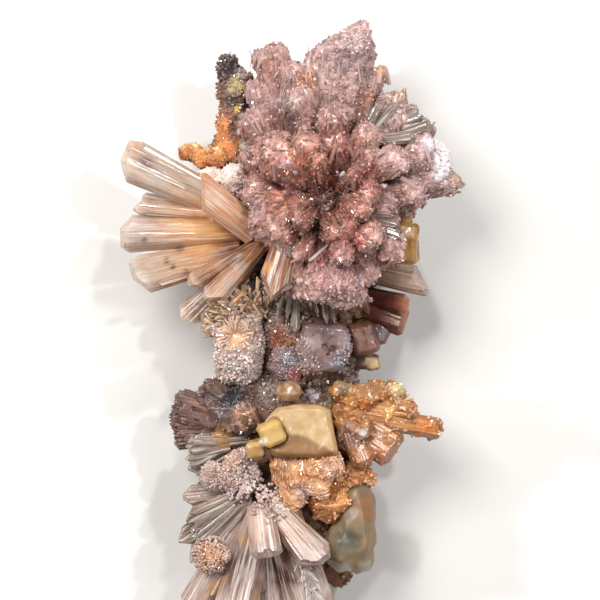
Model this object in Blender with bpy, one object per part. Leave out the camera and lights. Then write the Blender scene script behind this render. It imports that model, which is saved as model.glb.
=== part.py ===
"""Creedite on fluorite: a hand specimen lying on its back, its crystal face up.

The frame is in metres, +Z up. +Y runs along the specimen to the end with the purple rosette, +X to
the right as the crystal face is seen. The shapes below are given in millimetres on a flat sheet, with
heights above the floor. hull_object moves them by SHEET_ORIGIN, so that the origin of the frame is on
the floor under the middle of the specimen.

Each piece is fused from convex shapes: blades, broken lumps and cleaved blocks. Where two pieces
meet, the later one is cut back from slightly larger copies of the earlier one's shapes, which
leaves a gap of about 0.3 mm.
"""

import math
import random

import bmesh
import bpy
from mathutils import Matrix, Vector

MM = 0.001
GAP = 0.34  # how far a shape is grown before it cuts its neighbour
SHEET_ORIGIN = Vector((-1.9, -5.8, 0.0))  # the origin, on the sheet of millimetres used below
UP = Vector((0.0, 0.0, 1.0))
LEAST_BODY = 0.02  # a fused piece keeps its largest body, and loses crumbs under this share of it


class Blade:
    """A flat prismatic crystal with a two-sided chisel end, as creedite grows.

    It runs from root to tip. width is across the face that looks up, thick is through it, and roll
    turns it about its length. point puts the end's crest across the width, from -1 to 1, and flat
    is the crest's half length as a share of the half width. drops are how far the end falls to the
    two side edges. The positive side is the clockwise one as seen from above.
    """

    def __init__(self, root, tip, width, thick, point=0.0, flat=0.25, drops=(2.0, 2.0), roll=0.0, taper=0.6):
        self.root, self.tip = Vector(root), Vector(tip)
        self.width, self.thick, self.roll, self.taper = width, thick, roll, taper
        self.point, self.flat, self.drops = point, flat, drops

    def points(self, grow=0.0):
        along = (self.tip - self.root).normalized()
        length = (self.tip - self.root).length + grow
        across = along.cross(UP)
        if across.length < 0.05:
            across = Vector((1.0, 0.0, 0.0))
        across = (Matrix.Rotation(math.radians(self.roll), 3, along) @ across).normalized()
        through = across.cross(along).normalized()
        wide, deep = self.width / 2 + grow, self.thick / 2 + grow
        bevel = 0.55  # where the broad face ends, as a share of the half width

        def at(distance, a, b):
            return self.root + along * distance + across * a + through * b

        ring = [(1, 0), (bevel, 1), (-bevel, 1), (-1, 0), (-bevel, -1), (bevel, -1)]
        found = [at(-grow, a * wide * self.taper, b * deep * self.taper) for a, b in ring]
        low, high = self.drops
        for a, b in ring:
            side = high if a > 0 else low
            drop = side if b == 0 else side * bevel + 0.35 * deep
            found.append(at(max(length - drop, length * 0.3), a * wide, b * deep))
        for end in (-self.flat, self.flat):
            a = max(-0.9, min(0.9, self.point + end))
            found.append(at(length, a * wide, 0.0))
        return found


class Lump:
    """A broken lump: the hull of points spread over an ellipsoid and shaken by a seeded amount."""

    def __init__(self, centre, radii, seed, points=22, shake=0.12):
        self.centre, self.radii = Vector(centre), radii
        self.seed, self.count, self.shake = seed, points, shake

    def points(self, grow=0.0):
        spread = random.Random(self.seed)
        turn = math.pi * (3 - math.sqrt(5))
        found = []
        for i in range(self.count):
            z = 1 - 2 * (i + 0.5) / self.count
            ring, angle = math.sqrt(1 - z * z), turn * i + self.seed
            push = 1 + spread.uniform(-self.shake, self.shake)
            unit = Vector((ring * math.cos(angle), ring * math.sin(angle), z))
            found.append(
                self.centre + Vector([u * (r * push + grow) for u, r in zip(unit, self.radii)])
            )
        return found


class Block:
    """A cleaved fluorite block: a box with small chamfers, turned about X, Y and then Z."""

    def __init__(self, centre, size, turn=(0.0, 0.0, 0.0), chamfer=0.5):
        self.centre, self.size, self.chamfer = Vector(centre), size, chamfer
        self.turn = [math.radians(t) for t in turn]

    def points(self, grow=0.0):
        spin = (
            Matrix.Rotation(self.turn[2], 3, "Z")
            @ Matrix.Rotation(self.turn[1], 3, "Y")
            @ Matrix.Rotation(self.turn[0], 3, "X")
        )
        half = [s / 2 + grow for s in self.size]
        found = []
        for short in range(3):
            for corner in range(8):
                signs = [1 if corner >> axis & 1 else -1 for axis in range(3)]
                local = [
                    sign * (h - (0.0 if axis == short else self.chamfer))
                    for axis, (sign, h) in enumerate(zip(signs, half))
                ]
                found.append(self.centre + spin @ Vector(local))
        return found


class Slab:
    """A cleaved block with a many-sided face: its outline in x and y, its floor and its top. The top
    leans by rise, in millimetres up for each millimetre of x and of y, and is drawn in by a chamfer."""

    def __init__(self, outline, low, high, rise=(0.0, 0.0), chamfer=0.7):
        self.outline, self.low, self.high = outline, low, high
        self.rise, self.chamfer = rise, chamfer

    def points(self, grow=0.0):
        centre = sum((Vector(corner) for corner in self.outline), Vector((0, 0))) / len(self.outline)
        found = []
        for corner in self.outline:
            away = Vector(corner) - centre
            for height, draw, leans in (
                (self.low - grow, 0.0, 0), (self.high - self.chamfer, 0.0, 1), (self.high + grow, self.chamfer, 1)
            ):
                spot = away * (1 + (grow - draw) / away.length)
                lean = leans * (self.rise[0] * spot.x + self.rise[1] * spot.y)
                found.append(Vector((centre.x + spot.x, centre.y + spot.y, height + lean)))
        return found


def hull_object(name, points):
    """A hidden mesh object: the convex hull of points given in millimetres on the sheet."""
    bm = bmesh.new()
    for point in points:
        bm.verts.new((point - SHEET_ORIGIN) * MM)
    bmesh.ops.convex_hull(bm, input=bm.verts[:])
    bmesh.ops.delete(bm, geom=[v for v in bm.verts if not v.link_faces], context="VERTS")
    bmesh.ops.dissolve_limit(bm, angle_limit=0.01, verts=bm.verts[:], edges=bm.edges[:])
    bmesh.ops.recalc_face_normals(bm, faces=bm.faces[:])
    mesh = bpy.data.meshes.new(name)
    bm.to_mesh(mesh)
    bm.free()
    helper = bpy.data.objects.new(name, mesh)
    helper.hide_render = True
    helper.display_type = "WIRE"
    return helper


def combined(first, operation, helpers):
    """first after one Boolean with all the helpers. EXACT takes minutes over a rosette of blades, so
    this is MANIFOLD, whose operands are closed hulls here. Returns a new mesh object."""
    shelf = bpy.data.collections.new("shelf")
    bpy.context.scene.collection.children.link(shelf)
    for helper in helpers:
        shelf.objects.link(helper)
    bpy.context.scene.collection.objects.link(first)
    step = first.modifiers.new(operation.title(), "BOOLEAN")
    step.operation, step.operand_type = operation, "COLLECTION"
    step.collection, step.solver = shelf, "MANIFOLD"
    graph = bpy.context.evaluated_depsgraph_get()
    mesh = bpy.data.meshes.new_from_object(first.evaluated_get(graph))
    result = bpy.data.objects.new(first.name, mesh)
    for used in [*helpers, first]:
        bpy.data.objects.remove(used)
    bpy.data.collections.remove(shelf)
    return result


def keep_largest_body(mesh):
    """Removes the small bodies that a cut leaves beside the main one."""
    bm = bmesh.new()
    bm.from_mesh(mesh)
    left, bodies = set(bm.verts), []
    while left:
        body, edge = set(), [left.pop()]
        while edge:
            vert = edge.pop()
            body.add(vert)
            for link in vert.link_edges:
                other = link.other_vert(vert)
                if other in left:
                    left.remove(other)
                    edge.append(other)
        bodies.append(body)
    bodies.sort(key=len, reverse=True)
    for body in bodies[1:]:
        if len(body) > LEAST_BODY * len(bodies[0]):
            print("a cut left a body of", len(body), "corners, which is removed")
        bmesh.ops.delete(bm, geom=list(body), context="VERTS")
    bmesh.ops.dissolve_limit(bm, angle_limit=0.01, verts=bm.verts[:], edges=bm.edges[:])
    bmesh.ops.triangulate(bm, faces=bm.faces[:])
    bm.to_mesh(mesh)
    bm.free()


def finish_material(name, colour, roughness):
    material = bpy.data.materials.new(name)
    material.use_nodes = True
    shader = material.node_tree.nodes["Principled BSDF"]
    shader.inputs["Base Color"].default_value = (*colour, 1.0)
    shader.inputs["Roughness"].default_value = roughness
    shader.inputs["Metallic"].default_value = 0.0
    return material


def fused_piece(name, shapes, colour, roughness, cut_by=()):
    """One named solid: its shapes fused, then cut back from the floor and from cut_by's shapes."""
    helpers = [hull_object(name, shape.points()) for shape in shapes]
    piece = helpers[0]
    if len(helpers) > 1:
        piece = combined(piece, "UNION", helpers[1:])
    floor = Block((0, 0, -20), (300, 300, 40), chamfer=0.0)
    cutters = [hull_object("cutter", floor.points())]
    cutters += [hull_object("cutter", shape.points(GAP)) for shape in cut_by]
    piece = combined(piece, "DIFFERENCE", cutters)
    piece.name = name
    keep_largest_body(piece.data)
    piece.data.name = name
    piece.data.materials.clear()
    piece.data.materials.append(finish_material(name, colour, roughness))
    bpy.context.scene.collection.objects.link(piece)
    return piece


def flank_crystals():
    """Short stout crystals around the flanks of the rock, so that its sides are grown over too."""
    spread = random.Random(17)
    feet = [  # a place inside the rock, and how far its flank is from there
        ((5, 38), 9.0), ((8, 26), 11.0), ((-12, 24), 6.0), ((-10, 12), 8.0), ((8, 12), 9.0),
        ((2, -2), 11.0), ((2, -12), 12.0), ((-8, -22), 12.0), ((-8, -36), 11.0), ((-2, -50), 10.0),
    ]
    crystals = []
    for (x, y), flank in feet:
        for side in (-1, 1):
            lean = math.radians(spread.uniform(-55, 55))
            reach = flank + spread.uniform(2.0, 4.0)
            height = spread.uniform(6.0, 10.0)
            out = Vector((side * math.cos(lean), math.sin(lean), 0.0))
            wide = spread.uniform(3.6, 5.6)
            foot = Vector((x, y, height))
            tip = foot + out * reach + Vector((0, 0, spread.uniform(-2.0, 3.0)))
            crystals.append(
                Blade(foot + out * 2.0, tip, wide, wide * 0.75, point=spread.uniform(-0.5, 0.5),
                      drops=(spread.uniform(0.8, 2.0), spread.uniform(0.8, 2.0)),
                      roll=spread.uniform(-40, 40), taper=0.8)
            )
    return crystals


def matrix_shapes():
    """The brown rock that everything grew on, with a few cleaved blocks. Its back is broken flat."""
    broken = {"points": 16, "shake": 0.2}
    return [
        Lump((3, 20, 8), (17, 18, 11), seed=1, **broken),
        Lump((7, 36, 8), (10, 11, 9), seed=2, **broken),
        Lump((-10, 14, 8), (9, 11, 9), seed=3, **broken),
        Lump((-12, 27, 7), (8, 9, 8), seed=4, **broken),
        Lump((2, 3, 9), (13, 11, 12), seed=5, **broken),
        Lump((1, -9, 10), (14, 10, 12), seed=6, **broken),
        Lump((-5, -23, 9), (17, 12, 11), seed=7, **broken),
        Lump((7, -24, 9), (9, 11, 10), seed=8, **broken),
        Lump((-7, -38, 9), (14, 12, 10), seed=9, **broken),
        Lump((4, -40, 8), (10, 13, 9), seed=10, **broken),
        Lump((-3, -50, 7), (13, 9, 8), seed=12, **broken),
        Block((-11, -11, 6), (9, 9, 10), (8, 6, 20), 0.8),
        Block((9, 4, 6), (11, 9, 10), (-6, 5, -14), 0.8),
        Block((12, 27, 6), (9, 11, 9), (5, -7, 12), 0.8),
        Block((-14, -34, 5), (9, 9, 8), (6, 8, -18), 0.8),
        Block((9, -46, 5), (8, 9, 8), (-7, 4, 10), 0.8),
        *flank_crystals(),
    ]


def rosette_rim():
    """The outer petals of the purple rosette, one by one, clockwise from the tall peak."""
    root = (5, 20, 16)
    return [
        Blade(root, (9.0, 56.4, 23), 14.0, 7.0, point=0.55, flat=0.04, drops=(9.0, 7.0), taper=0.5),
        Blade((7, 24, 15), (16.4, 46.8, 20), 3.2, 3.0, point=0.3, drops=(1.5, 1.5)),
        Blade((7, 22, 16), (19.8, 42.2, 22), 5.0, 4.0, point=0.5, flat=0.1, drops=(3.0, 1.5)),
        Blade((8, 22, 16), (22.8, 38.8, 23), 3.8, 3.4, drops=(1.5, 1.5)),
        Blade((8, 22, 17), (20.0, 38.0, 28), 7.0, 4.5, flat=0.5, drops=(1.5, 1.5)),
        Blade((8, 21, 17), (26.0, 35.4, 25), 4.4, 3.4, flat=0.45, drops=(1.0, 1.0)),
        Blade((8, 22, 18), (26.4, 31.0, 28), 7.5, 5.0, point=-0.3, flat=0.3, drops=(2.0, 3.0)),
        Blade((8, 24, 17), (32.2, 25.6, 24), 9.8, 6.5, point=0.45, flat=0.12, drops=(8.5, 2.2)),
        Blade((8, 23, 18), (29.8, 28.6, 25), 6.5, 5.0, point=0.3, flat=0.3, drops=(2.5, 1.5)),
        Blade((8, 19, 18), (24.6, 21.6, 29), 6.5, 4.5, flat=0.3, drops=(2.5, 1.5)),
        Blade((7, 18, 16), (23.2, 18.8, 23), 4.6, 4.0, drops=(2.0, 1.5)),
        Blade((7, 17, 18), (19.4, 15.2, 27), 3.4, 2.8, flat=0.1, drops=(1.2, 1.8)),
        Blade((7, 17, 17), (20.2, 12.4, 25), 4.4, 3.0, point=0.3, flat=0.1, drops=(2.5, 1.2)),
        Blade((6, 17, 17), (17.6, 7.4, 25), 7.0, 4.5, flat=0.4, drops=(2.0, 1.5)),
        Blade((6, 16, 18), (14.4, 3.6, 26), 6.0, 4.5, flat=0.4, drops=(1.5, 1.5)),
        Blade((6, 16, 18), (9.8, -1.2, 28), 8.0, 5.0, flat=0.5, drops=(1.5, 1.5)),
        Blade((5, 16, 18), (4.8, -0.2, 29), 8.0, 5.0, flat=0.5, drops=(1.5, 1.2)),
        Blade((4, 16, 18), (0.6, 0.4, 28), 7.0, 5.0, flat=0.5, drops=(1.5, 1.5)),
        Blade((3, 16, 18), (-2.4, 4.0, 27), 6.0, 4.5, flat=0.4, drops=(1.5, 1.5)),
        Blade((3, 17, 18), (-7.0, 11.6, 27), 5.5, 4.5, flat=0.4, drops=(1.5, 1.5)),
        Blade((2, 18, 18), (-9.8, 16.0, 27), 6.0, 4.5, flat=0.4, drops=(1.5, 1.5)),
        Blade((2, 19, 17), (-11.2, 22.8, 25), 7.5, 5.0, flat=0.4, drops=(1.5, 1.5)),
        Blade((2, 20, 17), (-10.2, 30.0, 25), 7.5, 5.0, flat=0.4, drops=(1.5, 1.5)),
        Blade((2, 20, 17), (-10.4, 37.6, 23), 7.0, 5.0, flat=0.4, drops=(1.5, 1.5)),
        Blade((2, 22, 16), (-9.6, 44.0, 21), 6.0, 4.5, flat=0.4, drops=(2.0, 2.0)),
        Blade((3, 22, 16), (-6.6, 50.6, 23), 7.4, 5.0, flat=0.5, drops=(1.2, 1.8), taper=0.7),
        Blade((4, 22, 16), (-2.8, 47.2, 25), 5.4, 4.5, flat=0.4, drops=(1.5, 1.5)),
        Blade((4, 22, 16), (0.6, 47.0, 23), 6.0, 4.5, flat=0.5, drops=(1.5, 1.5)),
        Blade((3, 36, 18), (1.6, 50.4, 22), 2.4, 2.2, flat=0.05, drops=(3.5, 3.5)),
        Blade((6, 30, 16), (5.4, 51.8, 20), 3.4, 2.6, point=0.4, flat=0.2, drops=(2.5, 1.0)),
    ]


def rosette_crown():
    """The blades that lean out all round the rosette's hollow, in three seeded rings."""
    spread = random.Random(41)
    rings = [  # blades, reach out from the hollow, height of the feet and of the tips, width
        (14, 19.0, 20.5, 29.5, 7.0),
        (10, 13.8, 23.5, 32.0, 6.2),
        (8, 9.0, 25.5, 33.6, 4.8),
    ]
    crown = []
    for count, reach, foot, height, width in rings:
        for i in range(count):
            angle = 2 * math.pi * (i + spread.uniform(-0.35, 0.35)) / count
            out = Vector((math.cos(angle), 1.12 * math.sin(angle), 0))
            centre = Vector((5.4, 19.4, foot))
            shorter = 0.82 + 0.18 * max(0.0, math.sin(angle))  # the rosette reaches furthest up the sheet
            tip = centre + out * reach * shorter * spread.uniform(0.84, 1.14)
            tip.z = height + spread.uniform(-2.4, 2.4)
            root = centre + out * 3.0
            wide = width * spread.uniform(0.6, 1.25)
            crown.append(
                Blade(root, tip, wide, wide * 0.7, point=spread.uniform(-0.7, 0.7), flat=0.2,
                      drops=(spread.uniform(1.0, 3.6), spread.uniform(1.0, 3.6)),
                      roll=spread.uniform(-40, 40), taper=0.45)
            )
    crown.append(  # the diamond-tipped blade in front of the rosette's lower left
        Blade((-2.4, 13.0, 26), (-5.8, 0.2, 31.4), 5.6, 3.2, point=-0.1, flat=0.04, drops=(4.6, 4.4), taper=0.7)
    )
    return crown


def rosette_shapes():
    """All of the rosette: its root in the rock, the petals and the crown."""
    return [Lump((5, 20, 18), (9, 10, 6.6), seed=11, points=20), *rosette_rim(), *rosette_crown()]


def left_spray_shapes():
    """The large peach to clear blades at the left of the rosette."""
    return [
        Lump((-11, 13, 17), (4.5, 5, 4), seed=21, points=16),
        Blade((-12, 17.5, 17), (-35.6, 28.8, 21), 8.8, 4.0, point=0.2, flat=0.4, drops=(3.0, 2.2)),
        Blade((-20, 22, 15), (-34.6, 31.4, 18), 3.2, 2.4, point=0.3, drops=(1.5, 1.5)),
        Blade((-18, 18.6, 16), (-31.8, 20.4, 17), 2.6, 2.2, flat=0.4, drops=(0.8, 0.8)),
        Blade((-14, 16.8, 18), (-33.4, 18.4, 20), 2.8, 2.4, point=-0.2, flat=0.1, drops=(1.2, 1.4)),
        Blade((-12, 13.6, 18), (-36.0, 13.2, 20), 7.6, 4.4, point=-0.2, flat=0.5, drops=(1.8, 2.6)),
        Blade((-12, 9.8, 18), (-33.6, 4.6, 21), 8.0, 4.2, point=0.3, flat=0.4, drops=(2.8, 2.6)),
        Blade((-9, 13.5, 20), (-21.2, 23.2, 27), 6.4, 2.8, point=0.8, flat=0.05, drops=(5.2, 0.8), taper=0.9),
        Blade((-8, 11.8, 19), (-22.4, 3.0, 22), 3.6, 2.8, flat=0.2, drops=(2.0, 1.5)),
        Blade((-7, 11.6, 20), (-18.6, -0.4, 22), 4.8, 3.0, point=0.3, flat=0.1, drops=(3.5, 1.8)),
        Blade((-9, 10, 17), (-23.6, -4.2, 15), 5.4, 3.4, flat=0.3, drops=(2.2, 1.5)),
        Blade((-9, 9, 17), (-19.2, -5.2, 16), 4.6, 3.2, flat=0.3, drops=(1.8, 1.5)),
    ]


def iron_finger_shapes():
    """The tall iron-stained finger at the upper left, a stack of crusted lumps."""
    return [
        Lump((-13.2, 29, 14), (4.6, 6.5, 6), seed=31, points=20),
        Lump((-13.4, 36, 15), (3.6, 6.0, 4.5), seed=32, points=18),
        Lump((-13.0, 42.5, 16), (3.5, 4.6, 4), seed=33, points=18),
        Lump((-14.6, 46.5, 17), (2.2, 3.0, 2.8), seed=34, points=16),
        Lump((-11.8, 44.6, 16), (2.2, 1.8, 2), seed=35, points=14),
    ]


def limonite_shapes():
    """The orange limonite crust that bridges the finger and the left spray."""
    return [
        Lump((-21.6, 29.6, 15), (3.0, 2.0, 3.2), seed=36, points=16),
        Lump((-19.0, 28.4, 16), (3.0, 2.4, 3.2), seed=37, points=16),
        Lump((-16.4, 28.6, 17), (3.2, 2.4, 3.4), seed=38, points=16),
    ]


def white_crust_shapes():
    """The white powdery crust between the finger and the front petal of the left spray."""
    return [
        Lump((-13.0, 24.4, 19), (3.6, 3.4, 3.6), seed=39, points=16),
        Lump((-17.4, 24.8, 18), (3.4, 2.0, 3.0), seed=40, points=16),
    ]


def drusy_knob_shapes():
    """The sugary knob in the neck, with short sheaves of smoky crystals above it."""
    return [
        Lump((-12.0, -9.5, 16), (5.6, 6.6, 7), seed=45, points=24),
        Lump((-12.6, -14.0, 14), (4.6, 3.4, 5), seed=46, points=18),
        Lump((-12.0, -2.4, 15), (5.8, 4.2, 5.5), seed=47, points=20),
        Blade((-11, -4, 15), (-19.0, -2.0, 17), 2.6, 2.2),
        Blade((-10, -3, 17), (-15.6, 0.8, 20), 2.2, 2.0),
        Blade((-11, -5, 18), (-18.0, -6.6, 20), 2.4, 2.0),
    ]


def neck_prism_shapes():
    """The clear prisms that hang below the rosette, joined at their feet."""
    return [
        Lump((1.6, -0.4, 20), (5.2, 1.8, 2.2), seed=51, points=16),
        Blade((-0.8, 0.6, 20), (-1.0, -6.6, 24), 2.0, 1.8, flat=0.1, drops=(1.0, 1.6)),
        Blade((-1.8, 0.4, 20), (-2.6, -3.6, 23), 1.4, 1.2),
        Blade((4.6, 0.4, 20), (5.4, -4.6, 24), 1.3, 1.2),
        Blade((5.6, 0.4, 20), (7.0, -4.6, 23), 1.3, 1.2),
        Blade((2.8, 0.4, 20), (3.6, -3.4, 23), 1.0, 1.0),
    ]


def amber_cluster_shapes():
    """The honey-orange crystals at the right of the lower half, with one long square prism."""
    return [
        Lump((11, -25, 16), (6.5, 6.5, 6), seed=61, points=20),
        Blade((9, -22.6, 19), (28.1, -25.8, 21), 4.4, 4.2, flat=0.8, drops=(0.3, 0.3), taper=0.95),
        Blade((10, -21, 18), (23.4, -22.4, 22), 4.2, 3.6, flat=0.6, drops=(0.8, 0.8), taper=0.8),
        Lump((13.6, -19.2, 18), (6.6, 3.6, 4.6), seed=62, points=20, shake=0.18),
        Lump((18.6, -18.2, 19), (2.8, 2.0, 2.8), seed=63, points=16),
        Lump((8.4, -18.4, 18), (3.0, 2.8, 4.0), seed=64, points=16, shake=0.18),
        Blade((9, -23.4, 18), (19.4, -30.2, 20.5), 8.6, 5.0, flat=0.6, drops=(1.6, 1.0), taper=0.8),
        Blade((10, -25, 19), (13.2, -33.2, 21.5), 5.4, 4.0, flat=0.4, drops=(1.4, 1.0), taper=0.8),
        Blade((9, -24, 19), (13.4, -26.2, 25), 4.6, 3.2, flat=0.5, drops=(1.0, 1.0), taper=0.8),
    ]


def orange_tuft_shapes():
    """The orange tuft under the yellow fluorite: a swirled mass from one foot, rounded to the right."""
    foot = (-2, -37, 19)
    return [
        Lump((-0.6, -34.4, 21), (5.4, 4.4, 4.6), seed=65, points=22),
        Lump((4.6, -32.8, 23.6), (4.2, 3.6, 3.4), seed=66, points=22, shake=0.06),
        Lump((-1.4, -39.0, 20), (3.2, 3.4, 3.6), seed=67, points=18),
        Blade(foot, (5.8, -30.2, 26), 4.6, 3.4, flat=0.4, drops=(1.0, 1.0)),
        Blade(foot, (-4.6, -31.6, 24.6), 4.0, 3.2, flat=0.4, drops=(1.0, 1.0)),
        Blade(foot, (5.6, -37.2, 25), 4.4, 3.4, flat=0.4, drops=(1.0, 1.0)),
    ]


def dark_mass_shapes():
    """The dark fibrous mass at the left: stacked plates that fan out to the upper left."""
    root = (-9, -26, 13)
    return [
        Lump((-13, -23, 14), (7, 6, 7), seed=71, points=20),
        Blade(root, (-26.0, -21.6, 15), 9.0, 6.0, flat=0.6, drops=(1.5, 1.5), taper=0.8),
        Blade(root, (-25.6, -27.0, 14), 7.0, 6.0, flat=0.6, drops=(1.5, 1.5), taper=0.8),
        Blade(root, (-20.4, -17.4, 15), 8.0, 6.0, flat=0.5, drops=(2.0, 2.0), taper=0.8),
        Blade(root, (-12.6, -16.8, 15), 8.0, 6.0, flat=0.5, drops=(2.0, 2.0), taper=0.8),
        Blade((-10, -28, 16), (-23.0, -29.4, 17), 3.6, 3.0, flat=0.1, drops=(2.0, 2.0)),
        Blade((-10, -29, 15), (-22.6, -34.0, 16), 4.2, 3.0, flat=0.1, drops=(2.0, 2.0)),
        Blade((-8, -26, 17), (-11.4, -21.0, 22), 4.6, 3.0, flat=0.4, drops=(1.0, 1.0)),
    ]


def lower_spray_shapes():
    """The lilac and clear blades of the lower end, which radiate down from one root."""
    root = (-8, -41, 17)
    return [
        Lump((-8, -40, 18), (7, 5.5, 5), seed=81, points=22),
        Blade((-4, -41, 18), (3.6, -66.0, 21), 10.0, 5.5, point=0.2, flat=0.3, drops=(4.0, 3.0), taper=0.7),
        Blade((-5, -42, 21), (4.4, -52.6, 26), 7.6, 3.6, point=-0.3, flat=0.3, drops=(2.0, 3.0)),
        Blade((-8, -41, 21), (-6.6, -51.2, 26), 6.6, 3.6, flat=0.6, drops=(0.8, 0.8), taper=0.8),
        Blade((-8, -42, 18), (-13.6, -64.6, 22), 8.8, 4.6, point=0.2, flat=0.4, drops=(2.6, 3.2), taper=0.7),
        Blade((-6, -42, 16), (-4.4, -64.0, 17), 7.0, 4.0, flat=0.3, drops=(2.0, 2.0)),
        Blade((-10, -41, 17), (-22.2, -63.0, 19), 6.6, 4.0, flat=0.2, drops=(2.5, 2.5), taper=0.7),
        Blade((-10, -40, 18), (-22.0, -52.6, 19), 4.4, 3.0, flat=0.1, drops=(2.5, 2.5)),
        Blade((-10, -39, 18), (-24.4, -48.6, 17), 4.6, 3.0, flat=0.1, drops=(2.5, 2.5)),
        Blade((-10, -38, 19), (-22.8, -44.4, 20), 4.4, 2.8, flat=0.1, drops=(2.5, 2.5)),
        Blade((-10, -38, 18), (-23.6, -39.6, 17), 4.6, 3.0, flat=0.2, drops=(2.0, 2.0)),
        Blade((-9, -37, 19), (-20.0, -34.6, 22), 6.0, 4.0, flat=0.4, drops=(1.5, 1.5)),
        Blade((-9, -37, 19), (-13.6, -30.6, 22), 6.6, 4.0, flat=0.4, drops=(1.5, 1.5)),
        Lump((-18.0, -50.8, 22), (4.0, 4.2, 2.6), seed=82, points=20),
    ]


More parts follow.
